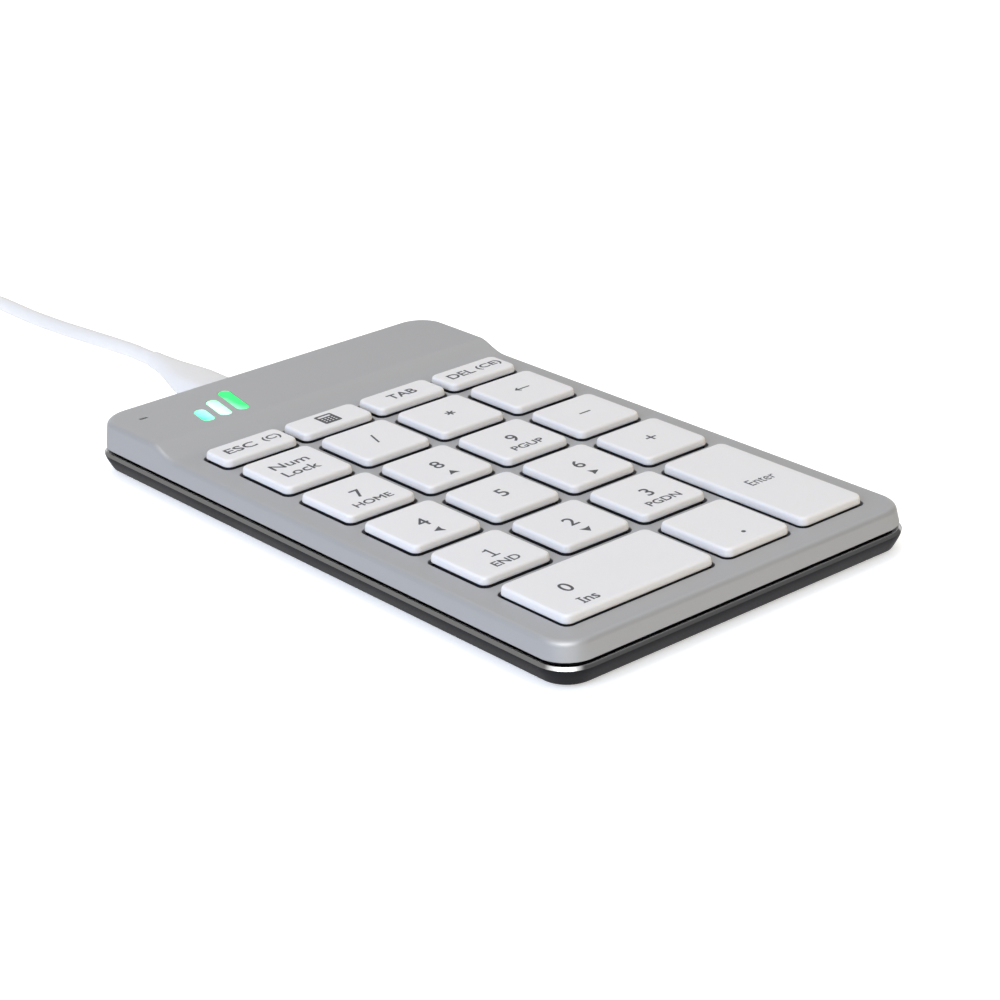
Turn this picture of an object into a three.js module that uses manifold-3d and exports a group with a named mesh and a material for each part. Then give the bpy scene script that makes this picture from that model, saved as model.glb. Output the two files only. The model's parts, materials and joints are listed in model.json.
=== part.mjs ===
// Wireless numeric keypad with a detachable charging cable.
// Millimetres. +X right, +Y to the rear, +Z up. The origin is the centre of the
// base shell's underside; the rubber feet stand 0.8 mm below it.
// Stack, bottom to top: base shell, steel support plate, three membrane films,
// silicone dome sheet, key guide frame, key caps, top cover.
// A pair such as [z0, z1] is a range from low to high.
import * as THREE from "three";
import { mergeVertices } from "three/addons/utils/BufferGeometryUtils.js";
import Module from "manifold-3d";

const wasm = await Module();
wasm.setup();

// ---------------------------------------------------------------- dimensions
const OVERLAP = 0.2; // how far a part runs into the one it is joined to
const PAST = 1; // how far a cut runs past the surface it opens

// Body
const BODY_W = 85.8; // width over the cover
const BODY_D = 142.06; // depth over the cover
const CORNER_R = 5.6; // plan radius of the cover's corners
const REAR_Y = BODY_D / 2;
const BASE_H = 3.3; // outer wall height of the base shell
const BASE_FLOOR = 1.2; // floor thickness
const LIP_INSET = 1.5; // base's inner lip, in from the cover's outline
const LIP_T = 1; // lip thickness
const LIP_TOP = 5.6;
const TRIM_Z = [BASE_H, 3.9]; // polished trim ring, seated on the base wall
const TRIM_OUT = 0.5; // how far the trim and the base stand proud of the cover
const TRIM_GAP = 0.3; // gap between the trim and the lip
const COVER_Z0 = 4.5; // lower edge of the top cover
const COVER_WALL = 1.2;
const DECK_Z = 8.2; // key deck
const DECK_T = 1.1; // deck thickness
const RAISED_Z = 10.2; // raised rear deck
const RAISED_INNER_Y = 50.3; // start of the raised ceiling inside
const SLOPE_Y = [42.4, 50.0]; // foot and head of the slope up to the raised deck

// Rounded edges: inset sideways, drop along Z, steps in the bevel
const COVER_EDGE = { inset: 1.65, drop: 2.6, steps: 2 };
const BASE_EDGE = { inset: 1.6, drop: 2.9, steps: 1 };
const TRIM_EDGE = { inset: 0.45, drop: 0.45, steps: 1 };
const CAP_EDGE = { inset: 0.6, drop: 0.6, steps: 1 };
const FOOT_EDGE = { inset: 0.3, drop: 0.3, steps: 1 };
const CELL_EDGE = { inset: 0.5, drop: 0.5, steps: 1 };

// Key openings
const PITCH = 19; // key pitch in both directions
const SHORT_PITCH = 18.83; // pitch and opening width of the rear, short row
const SHORT_W = 18.0;
const OPEN_W = 16.8; // opening of a single key
const OPEN_D = 16.5;
const OPEN_R = 1.6;
const FRONT_ROW = { y: -64.95, depth: 18.75 }; // y is the openings' front edge
const SHORT_ROW = { y: 32.3, depth: 9.1 };
const SECOND_ROW_Y = -43.65;

// Key caps
const CAP_GAP = 0.4; // gap between a cap and its opening
const CAP_GAP_Y_EXTRA = 0.03; // added to the gap at front and rear
const CAP_TOP = 9.9; // top of a cap at rest
const CAP_T = 1.1; // thickness of a cap's top
const CAP_CEILING = CAP_TOP - CAP_T;
const CAP_RIM_Z = 8.5; // lower edge of the cap's wide upper part
const CAP_STEP = 0.5; // how far the skirt below it is set back
const CAP_WALL = 0.8; // skirt thickness
const SKIRT_Z = 6.5; // lower edge of a cap's skirt at rest
const CAP_R = { rim: 1.5, skirt: 1.2, cavity: 0.6 }; // plan corner radii
// Tabs: reach out under the deck, root inside the skirt's wall
const TAB = { out: 0.42, root: 0.5, halfWidth: 4, top: 6.9 };
const STEM = { radius: 1.8, z0: 4.45 }; // plunger under each cap, at rest
// Forks that take the stabiliser wire's bar; halves along and across the bar
const FORK = { along: 8, halfAlong: 0.8, halfAcross: 1.35, z0: 6.35 };
const FORK_SLOT = { halfAlong: 1, halfAcross: 0.75, z: [6, 7.42] };
const TRAVEL = 1.4; // key travel

// Key mechanism
const STACK_X = 36.2; // half width of plate, films, dome sheet and guide frame
const STACK_Y = [-67.0, 42.6];
const PLATE_Z = [1.5, 1.9];
const BOTTOM_FILM_Z = [1.95, 2.1];
const SPACER_Z = [2.13, 2.27];
const TOP_FILM_Z = [2.3, 2.45];
const DOME_Z = [2.5, 2.8];
const DOME_TOP = 4.4;
const FRAME_Z = [3.5, 4.8];
const CHIMNEY = { radius: 2.8, bore: 2.0, top: 6.9 };
const SPACER_HOLE_R = 2.6;
const PEG = { radius: 0.9, hole: 1.15 };
const PEGS = [
  [-PITCH, -25.75],
  [PITCH, -6.75],
  [-PITCH, 31.2],
  [PITCH, 31.2],
];
// Stabiliser wire; bar and pivot are measured across it from the key's centre
const WIRE_R = 0.5;
const WIRE_BAR = -4.2;
const WIRE_ARM = 6.8; // horizontal distance from the pivot to the bar
const WIRE_PIVOT = WIRE_BAR + WIRE_ARM;
const WIRE_PIVOT_Z = 6.1;
const WIRE_HALF = 12.5; // half length of the bar
const BEARING = { beyond: 1.3, halfAlong: 0.5, halfAcross: 1.1, top: 7.0, bore: 0.66 };

// Fastening
const CORNERS = [
  ["front_left", -1, -1],
  ["front_right", 1, -1],
  ["rear_left", -1, 1],
  ["rear_right", 1, 1],
];
const SCREWS = CORNERS.map(([name, sideX, sideY]) => ({
  name,
  x: sideX * 38.4,
  y: sideY < 0 ? -60 : 56,
}));
const BOSS = { radius: 1.8, z0: 2.7 }; // under the cover
const BOSS_HOLE = { radius: 0.88, z: [2, 6.4] };
const SCREW_PAD = { radius: 2.0, z: [0.4, 2.6] }; // on the base's floor
const SCREW_RECESS = { radius: 1.9, z: [-1, 1.0] };
const SCREW_HOLE = { radius: 1.05, z: [0, 3.5] };
const FOOT = { x: 28, y: 63.5, width: 12, depth: 5, z: [-0.8, 0.4], radius: 1.5 };
const FOOT_GAP = 0.15; // gap around a foot in its pocket

// Electronics bay
const PCB = { x: [-36.4, 4], y: [50.6, 68.2], z: [4.0, 4.8] };
const BOARD_TOP = PCB.z[1];
const POST = { radius: 1.4, xs: [-33, 1], ys: [53, 66] }; // under the board
const PORT = { x: -11.4, z: 6.4 }; // centre of the charging port
const MARK = { x: -21.6, y: 58.4 }; // centre of the illuminated mark
const STATUS = { x: -35.7, y: 63.2 }; // small status window
const SWITCH = { x: -1.0, z: 6.6, travel: 2.0 };
const WINDOW_CUT_Z = [8.8, RAISED_Z + PAST];
const REAR_CUT_Y = [68, REAR_Y + PAST];
const TAIL_X = [-12.5, -2.5]; // flat tail from the lower film to the board

const DESK = FOOT.z[0];
const CABLE_R = 1.6;

// ---------------------------------------------------------------- finishes
const FINISH = {
  keyCap: { color: 0xe4e2e2, roughness: 0.5 },
  cover: { color: 0xa8a9aa, roughness: 0.42, metalness: 0.25 },
  trim: { color: 0xb4b2b0, roughness: 0.15, metalness: 1 },
  base: { color: 0x232326, roughness: 0.22 },
  foot: { color: 0x1a1a1a, roughness: 0.9 },
  screw: { color: 0x8d8f93, roughness: 0.35, metalness: 1 },
  plate: { color: 0x9a9c9f, roughness: 0.4, metalness: 0.9 },
  film: { color: 0xd9d7c8, roughness: 0.35 },
  spacer: { color: 0xe6e4dc, roughness: 0.35 },
  silicone: { color: 0xd2d6d8, roughness: 0.7 },
  frame: { color: 0x2a2a2c, roughness: 0.6 },
  wire: { color: 0xb9bbbe, roughness: 0.3, metalness: 1 },
  board: { color: 0x1f5a35, roughness: 0.5 },
  moduleCan: { color: 0xb9bbbd, roughness: 0.3, metalness: 1 },
  chip: { color: 0x1c1c1e, roughness: 0.5 },
  connector: { color: 0xe9e6dc, roughness: 0.5 },
  cell: { color: 0xc3c6ca, roughness: 0.35, metalness: 0.6 },
  lead: { color: 0xb3392f, roughness: 0.6 },
  port: { color: 0xc8cacc, roughness: 0.25, metalness: 1 },
  switchBody: { color: 0x9b9da0, roughness: 0.4, metalness: 0.8 },
  slider: { color: 0x2b2b2d, roughness: 0.5 },
  led: { color: 0xf2f0e2, roughness: 0.4 },
  lightPipe: { color: 0x3c3e40, roughness: 0.2 },
  lightGuide: { color: 0x6dffc0, roughness: 0.4 },
  plugShell: { color: 0xcfd1d3, roughness: 0.25, metalness: 1 },
  overmould: { color: 0xe6e4df, roughness: 0.55 },
  cable: { color: 0xe4e2de, roughness: 0.6 },
  contacts: { color: 0xf0efec, roughness: 0.5 },
};

// ---------------------------------------------------------------- solids
function solid(geometry) {
  geometry.deleteAttribute("normal");
  geometry.deleteAttribute("uv");
  const merged = mergeVertices(geometry, 1e-4);
  return new wasm.Manifold(
    new wasm.Mesh({
      numProp: 3,
      vertProperties: new Float32Array(merged.attributes.position.array),
      triVerts: new Uint32Array(merged.index.array),
    }),
  );
}

function bufferOf(manifold) {
  const mesh = manifold.getMesh();
  const geometry = new THREE.BufferGeometry();
  const positions = new Float32Array(mesh.vertProperties);
  geometry.setAttribute("position", new THREE.BufferAttribute(positions, 3));
  geometry.setIndex(new THREE.BufferAttribute(new Uint32Array(mesh.triVerts), 1));
  geometry.computeVertexNormals();
  return geometry;
}

const around = (centre, half) => [centre - half, centre + half];
const middle = ([from, to]) => (from + to) / 2;

function box({ x, y, z }) {
  const geometry = new THREE.BoxGeometry(x[1] - x[0], y[1] - y[0], z[1] - z[0]);
  geometry.translate(middle(x), middle(y), middle(z));
  return solid(geometry);
}

// Upright cylinder.
function cylinder(radius, z, x, y, sides) {
  const geometry = new THREE.CylinderGeometry(radius, radius, z[1] - z[0], sides);
  geometry.rotateX(Math.PI / 2);
  geometry.rotateZ(Math.PI / sides);
  geometry.translate(x, y, middle(z));
  return solid(geometry);
}

// Solid turned about an upright axis; profile rows are [radius, z].
function turned(profile, sides, x, y) {
  const geometry = new THREE.LatheGeometry(
    profile.map(([radius, z]) => new THREE.Vector2(radius, z)),
    sides,
  );
  geometry.rotateX(Math.PI / 2);
  geometry.translate(x, y, 0);
  return solid(geometry);
}

// Points of an arc about a centre, angles in quarter turns.
function arc(x, y, radius, from, to, steps) {
  return Array.from({ length: steps + 1 }, (_, i) => {
    const angle = ((from + ((to - from) * i) / steps) * Math.PI) / 2;
    return [x + radius * Math.cos(angle), y + radius * Math.sin(angle)];
  });
}

// Rectangle with rounded corners.
function roundedRect(halfX, halfY, radius, steps, x = 0, y = 0) {
  const dx = halfX - radius;
  const dy = halfY - radius;
  return [
    ...arc(x + dx, y + dy, radius, 0, 1, steps),
    ...arc(x - dx, y + dy, radius, 1, 2, steps),
    ...arc(x - dx, y - dy, radius, 2, 3, steps),
    ...arc(x + dx, y - dy, radius, 3, 4, steps),
  ];
}

// Rounded rectangle centred on x = 0 that fills a range of y.
const rectOverY = (halfX, y, radius, steps) =>
  roundedRect(halfX, (y[1] - y[0]) / 2, radius, steps, 0, middle(y));

// The cover's outline drawn in by an inset.
const bodyOutline = (inset, steps) =>
  roundedRect(BODY_W / 2 - inset, BODY_D / 2 - inset, CORNER_R - inset, steps);

// Slot with round ends.
function slot(width, height, steps, x = 0, y = 0) {
  const radius = height / 2;
  const dx = width / 2 - radius;
  return [
    ...arc(x + dx, y, radius, -1, 1, steps),
    ...arc(x - dx, y, radius, 1, 3, steps),
  ];
}

function extrude(points, depth, options = { bevelEnabled: false }) {
  const shape = new THREE.Shape(points.map(([x, y]) => new THREE.Vector2(x, y)));
  return new THREE.ExtrudeGeometry(shape, { depth, ...options });
}

function prism(points, z) {
  return solid(extrude(points, z[1] - z[0]).translate(0, 0, z[0]));
}

// Prism along Y of a shape drawn in x and z.
function prismY(points, y) {
  const geometry = extrude(points.map(([x, z]) => [x, -z]), y[1] - y[0]);
  geometry.rotateX(-Math.PI / 2);
  return solid(geometry.translate(0, y[0], 0));
}

// Prism along X of a shape drawn in y and z.
function prismX(points, x) {
  const geometry = extrude(points, x[1] - x[0]);
  geometry.applyMatrix4(
    new THREE.Matrix4().set(0, 0, 1, x[0], 1, 0, 0, 0, 0, 1, 0, 0, 0, 0, 0, 1),
  );
  return solid(geometry);
}

// Bevelled at both ends and made too long, then cut so that one bevel is left.
const SPARE = 2;
const EVERYWHERE = [-200, 200];
function bevelled(points, [z0, z1], edge, start, kept) {
  const geometry = extrude(points, z1 - z0 - edge.drop + SPARE, {
    bevelEnabled: true,
    bevelSize: edge.inset,
    bevelThickness: edge.drop,
    bevelOffset: -edge.inset,
    bevelSegments: edge.steps,
  });
  geometry.translate(0, 0, start);
  return solid(geometry).intersect(box({ x: EVERYWHERE, y: EVERYWHERE, z: kept }));
}
const topRounded = (points, z, edge) =>
  bevelled(points, z, edge, z[0] - SPARE, [z[0], z[1] + PAST]);
const bottomRounded = (points, z, edge) =>
  bevelled(points, z, edge, z[0] + edge.drop, [z[0] - PAST, z[1]]);

// Round rod along a smooth path through [x, y, z] points.
function rod(points, radius, sides, steps) {
  const path = points.map((point) => new THREE.Vector3(...point));
  const ring = Array.from({ length: sides }, (_, i) => {
    const angle = (i / sides) * 2 * Math.PI;
    return [radius * Math.cos(angle), radius * Math.sin(angle)];
  });
  return solid(
    extrude(ring, 1, {
      steps,
      extrudePath: new THREE.CatmullRomCurve3(path, false, "centripetal"),
      bevelEnabled: false,
    }),
  );
}

// ---------------------------------------------------------------- key layout
// Rows count from 0 at the front to 5 at the rear, columns from the left.
const KEY_ROWS = [
  [5, "esc", "calculator", "tab", "del"],
  [4, "num_lock", "divide", "multiply", "backspace"],
  [3, "7", "8", "9", "minus"],
  [2, "4", "5", "6", "plus"],
  [1, "1", "2", "3"],
];

function rowOf(row) {
  if (row === 0) return FRONT_ROW;
  if (row === 5) return SHORT_ROW;
  return { y: SECOND_ROW_Y + PITCH * (row - 1), depth: OPEN_D };
}

// A key's centre and half sizes of its opening. "wire" is the axis along which
// its stabiliser bar runs.
function makeKey(name, column, row, { lastColumn = column, lastRow = row, wire } = {}) {
  const [pitch, width] = row === 5 ? [SHORT_PITCH, SHORT_W] : [PITCH, OPEN_W];
  const x0 = (column - 1.5) * pitch;
  const x1 = (lastColumn - 1.5) * pitch;
  const y0 = rowOf(row).y;
  const y1 = rowOf(lastRow).y + rowOf(lastRow).depth;
  return {
    name: "key_" + name,
    x: (x0 + x1) / 2,
    y: (y0 + y1) / 2,
    halfX: (x1 - x0 + width) / 2,
    halfY: (y1 - y0) / 2,
    wire,
  };
}

const keys = [
  ...KEY_ROWS.flatMap(([row, ...names]) =>
    names.map((name, column) => makeKey(name, column, row)),
  ),
  makeKey("enter", 3, 0, { lastRow: 1, wire: "y" }),
  makeKey("0", 0, 0, { lastColumn: 1, wire: "x" }),
  makeKey("dot", 2, 0),
];
const wiredKeys = keys.filter((key) => key.wire);

// Position from distances along and across a key's stabiliser bar.
const onWire = (key, along, across) =>
  key.wire === "x" ? [key.x + along, key.y + across] : [key.x + across, key.y + along];

function wireBox(key, along, across, { halfAlong, halfAcross }, z) {
  const [x, y] = onWire(key, along, across);
  const [halfX, halfY] =
    key.wire === "x" ? [halfAlong, halfAcross] : [halfAcross, halfAlong];
  return box({ x: around(x, halfX), y: around(y, halfY), z });
}

// ---------------------------------------------------------------- key caps
// A thin shell: a wide upper part, a skirt set back below it, a plunger in the
// middle, and a tab on the front and rear skirt that keeps it under the deck.
function keyCap(key) {
  const { x, y } = key;
  const halfX = key.halfX - CAP_GAP;
  const halfY = key.halfY - CAP_GAP - CAP_GAP_Y_EXTRA;
  const outline = (inset, radius, steps) =>
    roundedRect(halfX - inset, halfY - inset, radius, steps, x, y);
  const cavity = outline(CAP_STEP + CAP_WALL, CAP_R.cavity, 1);
  let cap = topRounded(outline(0, CAP_R.rim, 2), [CAP_RIM_Z, CAP_TOP], CAP_EDGE)
    .add(prism(outline(CAP_STEP, CAP_R.skirt, 1), [SKIRT_Z, CAP_RIM_Z + 0.1]))
    .subtract(prism(cavity, [SKIRT_Z - PAST, CAP_CEILING]))
    .add(cylinder(STEM.radius, [STEM.z0, CAP_CEILING + OVERLAP], x, y, 6));
  const root = halfY - CAP_STEP - TAB.root;
  const tip = key.halfY + TAB.out;
  for (const tabY of [
    [y - tip, y - root],
    [y + root, y + tip],
  ])
    cap = cap.add(box({ x: around(x, TAB.halfWidth), y: tabY, z: [SKIRT_Z, TAB.top] }));
  return key.wire ? addForks(cap, key) : cap;
}

function addForks(cap, key) {
  for (const along of [-FORK.along, FORK.along]) {
    const fork = wireBox(key, along, WIRE_BAR, FORK, [FORK.z0, CAP_CEILING + 0.1]);
    cap = cap.add(fork.subtract(wireBox(key, along, WIRE_BAR, FORK_SLOT, FORK_SLOT.z)));
  }
  return cap;
}

// ---------------------------------------------------------------- lit mark
// Three slanted bars of growing length: [x from the mark's centre, length].
const MARK_BARS = [
  [-4.5, 6.6],
  [0, 9.2],
  [4.5, 11.8],
];
const MARK_W = 2.7; // bar width
const MARK_SLANT = -0.2; // radians; the bars' rear ends lean right
const MARK_FOOT = 5.9; // bars' front ends, forward of the centre before slanting

function markBar(dx, length, inset, z) {
  const outline = slot(length - 2 * inset, MARK_W - 2 * inset, 6);
  const geometry = extrude(outline, z[1] - z[0]);
  geometry.rotateZ(Math.PI / 2 + MARK_SLANT);
  geometry.translate(MARK.x + dx, MARK.y - MARK_FOOT + length / 2, z[0]);
  return solid(geometry);
}

// ---------------------------------------------------------------- top cover
// Side view of the slope up to the raised deck, as [y, z] from foot to head.
function slopePoints() {
  return Array.from({ length: 5 }, (_, i) => {
    const run = i / 4;
    const eased = run ** 1.4;
    const rise = eased * eased * (3 - 2 * eased);
    return [
      SLOPE_Y[0] + run * (SLOPE_Y[1] - SLOPE_Y[0]),
      DECK_Z + rise * (RAISED_Z - DECK_Z),
    ];
  });
}

function coverShell() {
  const rearPart = prismX(
    [
      [SLOPE_Y[0], COVER_Z0 - PAST],
      [BODY_D, COVER_Z0 - PAST],
      [BODY_D, RAISED_Z + PAST],
      [SLOPE_Y[1], RAISED_Z + PAST],
      ...slopePoints().reverse(),
    ],
    [-60, 60],
  );
  const full = (top) => topRounded(bodyOutline(0, 4), [COVER_Z0, top], COVER_EDGE);
  const raisedY = [RAISED_INNER_Y, REAR_Y - COVER_WALL];
  const raisedCavity = rectOverY(BODY_W / 2 - COVER_WALL, raisedY, 2.5, 2);
  return full(DECK_Z)
    .add(full(RAISED_Z).intersect(rearPart))
    .subtract(prism(bodyOutline(COVER_WALL, 3), [COVER_Z0 - PAST, DECK_Z - DECK_T]))
    .subtract(prism(raisedCavity, [COVER_Z0, RAISED_Z - DECK_T]));
}

function topCover() {
  let cover = coverShell();
  for (const { x, y, halfX, halfY } of keys)
    cover = cover.subtract(
      prism(roundedRect(halfX, halfY, OPEN_R, 2, x, y), [6, DECK_Z + PAST]),
    );
  // screw bosses, blind holes from below
  for (const { x, y } of SCREWS) {
    const top = (y > 0 ? RAISED_Z : DECK_Z) - DECK_T + OVERLAP;
    cover = cover
      .add(cylinder(BOSS.radius, [BOSS.z0, top], x, y, 8))
      .subtract(cylinder(BOSS_HOLE.radius, BOSS_HOLE.z, x, y, 6));
  }
  for (const [dx, length] of MARK_BARS)
    cover = cover.subtract(markBar(dx, length, 0, WINDOW_CUT_Z));
  const switchOpening = {
    x: around(SWITCH.x, 2.7),
    y: REAR_CUT_Y,
    z: around(SWITCH.z, 0.85),
  };
  return cover
    .subtract(prism(slot(2.0, 0.8, 4, STATUS.x, STATUS.y), WINDOW_CUT_Z))
    .subtract(prismY(slot(9.7, 3.7, 6, PORT.x, PORT.z), REAR_CUT_Y))
    .subtract(box(switchOpening));
}

// ---------------------------------------------------------------- trim and base
// Polished band, flush with the base wall, chamfered on its upper outer edge.
function trimRing() {
  const bore = bodyOutline(LIP_INSET - TRIM_GAP, 3);
  return topRounded(bodyOutline(-TRIM_OUT, 4), TRIM_Z, TRIM_EDGE).subtract(
    prism(bore, [TRIM_Z[0] - PAST, TRIM_Z[1] + PAST]),
  );
}

function footOutline(sideX, sideY, gap) {
  const { x, y, width, depth, radius } = FOOT;
  return roundedRect(width / 2 + gap, depth / 2 + gap, radius, 1, sideX * x, sideY * y);
}

function baseShell() {
  let base = bottomRounded(bodyOutline(-TRIM_OUT, 4), [0, BASE_H], BASE_EDGE)
    .add(prism(bodyOutline(LIP_INSET, 3), [BASE_H - 0.5, LIP_TOP]))
    .subtract(prism(bodyOutline(LIP_INSET + LIP_T, 2), [BASE_FLOOR, LIP_TOP + PAST]));
  // ribs under the support plate
  for (const x of [-PITCH, 0, PITCH])
    base = base.add(
      box({ x: around(x, 0.6), y: STACK_Y, z: [BASE_FLOOR - OVERLAP, PLATE_Z[0]] }),
    );
  for (const x of POST.xs)
    for (const y of POST.ys)
      base = base.add(cylinder(POST.radius, [BASE_FLOOR - OVERLAP, PCB.z[0]], x, y, 6));
  for (const { x, y } of SCREWS)
    base = base
      .add(cylinder(SCREW_PAD.radius, SCREW_PAD.z, x, y, 8))
      .subtract(cylinder(SCREW_RECESS.radius, SCREW_RECESS.z, x, y, 8))
      .subtract(cylinder(SCREW_HOLE.radius, SCREW_HOLE.z, x, y, 6));
  for (const [, sideX, sideY] of CORNERS)
    base = base.subtract(prism(footOutline(sideX, sideY, FOOT_GAP), [-1, FOOT.z[1]]));
  // the lip is cut back for the port
  const portCut = {
    x: around(PORT.x, 5.2),
    y: [67.5, 70.5],
    z: [PCB.z[0] + 0.3, LIP_TOP + PAST],
  };
  return base.subtract(box(portCut));
}

// [radius, z], head at the bottom
const SCREW_PROFILE = [
  [0, 0.15],
  [1.3, 0.15],
  [1.6, 0.4],
  [1.6, 1.0],
  [0.78, 1.0],
  [0.78, 5.6],
  [0, 6.1],
];

// ---------------------------------------------------------------- key stack
const stackPrism = (z) => prism(rectOverY(STACK_X, STACK_Y, 1.5, 1), z);

// Stack-sized sheet with holes for the guide frame's pegs.
function sheet(z) {
  let result = stackPrism(z);
  for (const [x, y] of PEGS)
    result = result.subtract(cylinder(PEG.hole, [z[0] - PAST, z[1] + PAST], x, y, 8));
  return result;
}

// Tail in side view, [y, z]: flat, up the slope, flat into the connector.
const TAIL_PROFILE = [
  [STACK_Y[1] - 0.6, BOTTOM_FILM_Z[0]],
  [46.2, BOTTOM_FILM_Z[0]],
  [49.9, 5.25],
  [52.6, 5.25],
  [52.6, 5.4],
  [49.82, 5.4],
  [46.12, BOTTOM_FILM_Z[1]],
  [STACK_Y[1] - 0.6, BOTTOM_FILM_Z[1]],
];
const bottomFilm = () => sheet(BOTTOM_FILM_Z).add(prismX(TAIL_PROFILE, TAIL_X));

function membraneSpacer() {
  const holeZ = [SPACER_Z[0] - PAST, SPACER_Z[1] + PAST];
  let spacer = sheet(SPACER_Z);
  for (const { x, y } of keys)
    spacer = spacer.subtract(cylinder(SPACER_HOLE_R, holeZ, x, y, 6));
  return spacer;
}

// Dome with a solid nub on top, and the hollow under it: [radius, z].
const DOME_OUTSIDE = [
  [0, DOME_Z[1] - 0.1],
  [3.7, DOME_Z[1] - 0.1],
  [3.7, DOME_Z[1]],
  [1.7, 3.42],
  [1.5, DOME_TOP],
  [0, DOME_TOP],
];
const DOME_HOLLOW = [
  [0, DOME_Z[0] - 0.5],
  [3.3, DOME_Z[0] - 0.5],
  [3.3, DOME_Z[0]],
  [1.3, 3.05],
  [0, 3.05],
];
function domeSheet() {
  let domes = sheet(DOME_Z);
  for (const { x, y } of keys)
    domes = domes
      .add(turned(DOME_OUTSIDE, 6, x, y))
      .subtract(turned(DOME_HOLLOW, 6, x, y));
  return domes;
}

// A plate with a chimney for every plunger, pegs that locate the stack, and
// bearing blocks for the two stabiliser wires.
function guideFrame() {
  const { radius, bore, top } = CHIMNEY;
  let frame = stackPrism(FRAME_Z);
  for (const { x, y } of keys)
    frame = frame
      .add(cylinder(radius, [FRAME_Z[1] - OVERLAP, top], x, y, 6))
      .subtract(cylinder(bore, [FRAME_Z[0] - PAST, top + PAST], x, y, 6));
  for (const [x, y] of PEGS)
    frame = frame.add(
      cylinder(PEG.radius, [PLATE_Z[0] + 0.05, FRAME_Z[0] + 0.3], x, y, 8),
    );
  const blockZ = [FRAME_Z[1] - OVERLAP, BEARING.top];
  for (const key of wiredKeys)
    for (const side of [-1, 1]) {
      const along = side * (WIRE_HALF + BEARING.beyond);
      frame = frame
        .add(wireBox(key, along, WIRE_PIVOT, BEARING, blockZ))
        .subtract(bearingHole(key, along));
    }
  return frame;
}

function bearingHole(key, along) {
  const hole = new THREE.CylinderGeometry(BEARING.bore, BEARING.bore, 2, 8);
  if (key.wire === "x") hole.rotateZ(Math.PI / 2);
  hole.translate(...onWire(key, along, WIRE_PIVOT), WIRE_PIVOT_Z);
  return solid(hole);
}

// Wire bent from one length: two tails, two arms, one bar. The bar lies half
// the key travel above the pivots.
function stabiliserWire(key) {
  const bend = 0.9; // bend radius
  const cut = 0.26; // how far a bend's middle point cuts the corner
  const pivotZ = WIRE_PIVOT_Z;
  const barZ = pivotZ + TRAVEL / 2;
  // half of the wire, tail to bar: [along, across, z]
  const half = [
    [WIRE_HALF + 1.7, WIRE_PIVOT, pivotZ],
    [WIRE_HALF + bend, WIRE_PIVOT, pivotZ],
    [WIRE_HALF + cut, WIRE_PIVOT - cut, pivotZ + 0.02],
    [WIRE_HALF, WIRE_PIVOT - bend, pivotZ + 0.09],
    [WIRE_HALF, (WIRE_PIVOT + WIRE_BAR) / 2, (pivotZ + barZ) / 2],
    [WIRE_HALF, WIRE_BAR + bend, barZ - 0.09],
    [WIRE_HALF - cut, WIRE_BAR + cut, barZ - 0.02],
    [WIRE_HALF - bend, WIRE_BAR, barZ],
    [WIRE_HALF / 2, WIRE_BAR, barZ],
  ];
  const mirrored = half.map(([along, across, z]) => [-along, across, z]).reverse();
  const path = [...half, ...mirrored].map(([along, across, z]) => [
    ...onWire(key, along, across),
    z,
  ]);
  return rod(path, WIRE_R, 6, 26);
}

// ---------------------------------------------------------------- electronics
const WIRELESS = { x: [-35.8, -29.8], y: [51.4, 60.4], z: [BOARD_TOP, 6.3] };
const CHIP = { x: [-11, -6], y: [56, 61], z: [BOARD_TOP, 5.7] };
const CONNECTOR = { x: [-13.4, -1.6], y: [50.9, 54.4], z: [BOARD_TOP, 6.1] };
const CONNECTOR_SLOT = { x: [-12.6, -2.4], y: [50, 53.2], z: [5.15, 5.5] };
const CELL = { x: 22, y: 59.2, halfX: 14, halfY: 8, radius: 1.6, z: [1.3, 6.3] };
const LEAD_PLUG = { x: [-2.4, 1.4], y: [59, 63.6], z: [BOARD_TOP, 6.2] };
const LEAD = { radius: 0.45, offset: 0.8 }; // each lead's offset in y
const LEAD_PATH = [
  [1.0, 61.3, 5.6],
  [3.2, 61.3, 5.7],
  [5.4, 61.0, 5.2],
  [7.95, 60.8, 4.6],
];
const STATUS_LED = {
  x: [STATUS.x - 0.7, STATUS.x + 0.9],
  y: around(STATUS.y, 0.4),
  z: [BOARD_TOP, 5.4],
};
const MARK_LED = { x: around(MARK.x, 0.8), y: around(MARK.y, 0.6), z: [BOARD_TOP, 5.5] };

const batteryCell = () =>
  topRounded(
    roundedRect(CELL.halfX, CELL.halfY, CELL.radius, 3, CELL.x, CELL.y),
    CELL.z,
    CELL_EDGE,
  );

// Two leads in one plug-in connector.
function batteryLead() {
  let lead = box(LEAD_PLUG);
  for (const dy of [-LEAD.offset, LEAD.offset])
    lead = lead.add(rod(LEAD_PATH.map(([x, y, z]) => [x, y + dy, z]), LEAD.radius, 6, 8));
  return lead;
}

// Charging receptacle: shell, closed at the front end, contact tongue.
function receptacle() {
  const tongue = { x: around(PORT.x, 3.3), y: [64, 69.4], z: around(PORT.z, 0.35) };
  return prismY(slot(9.0, 3.2, 6, PORT.x, PORT.z), [63.3, 70.6])
    .subtract(prismY(slot(8.4, 2.6, 6, PORT.x, PORT.z), [64.3, 71]))
    .add(box(tongue));
}

function switchBody() {
  const body = { x: around(SWITCH.x, 4), y: [64.6, 68.2], z: [BOARD_TOP, 7.7] };
  const recess = { x: around(SWITCH.x, 2.4), y: [66, 69], z: around(SWITCH.z, 0.6) };
  return box(body).subtract(box(recess));
}

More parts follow.
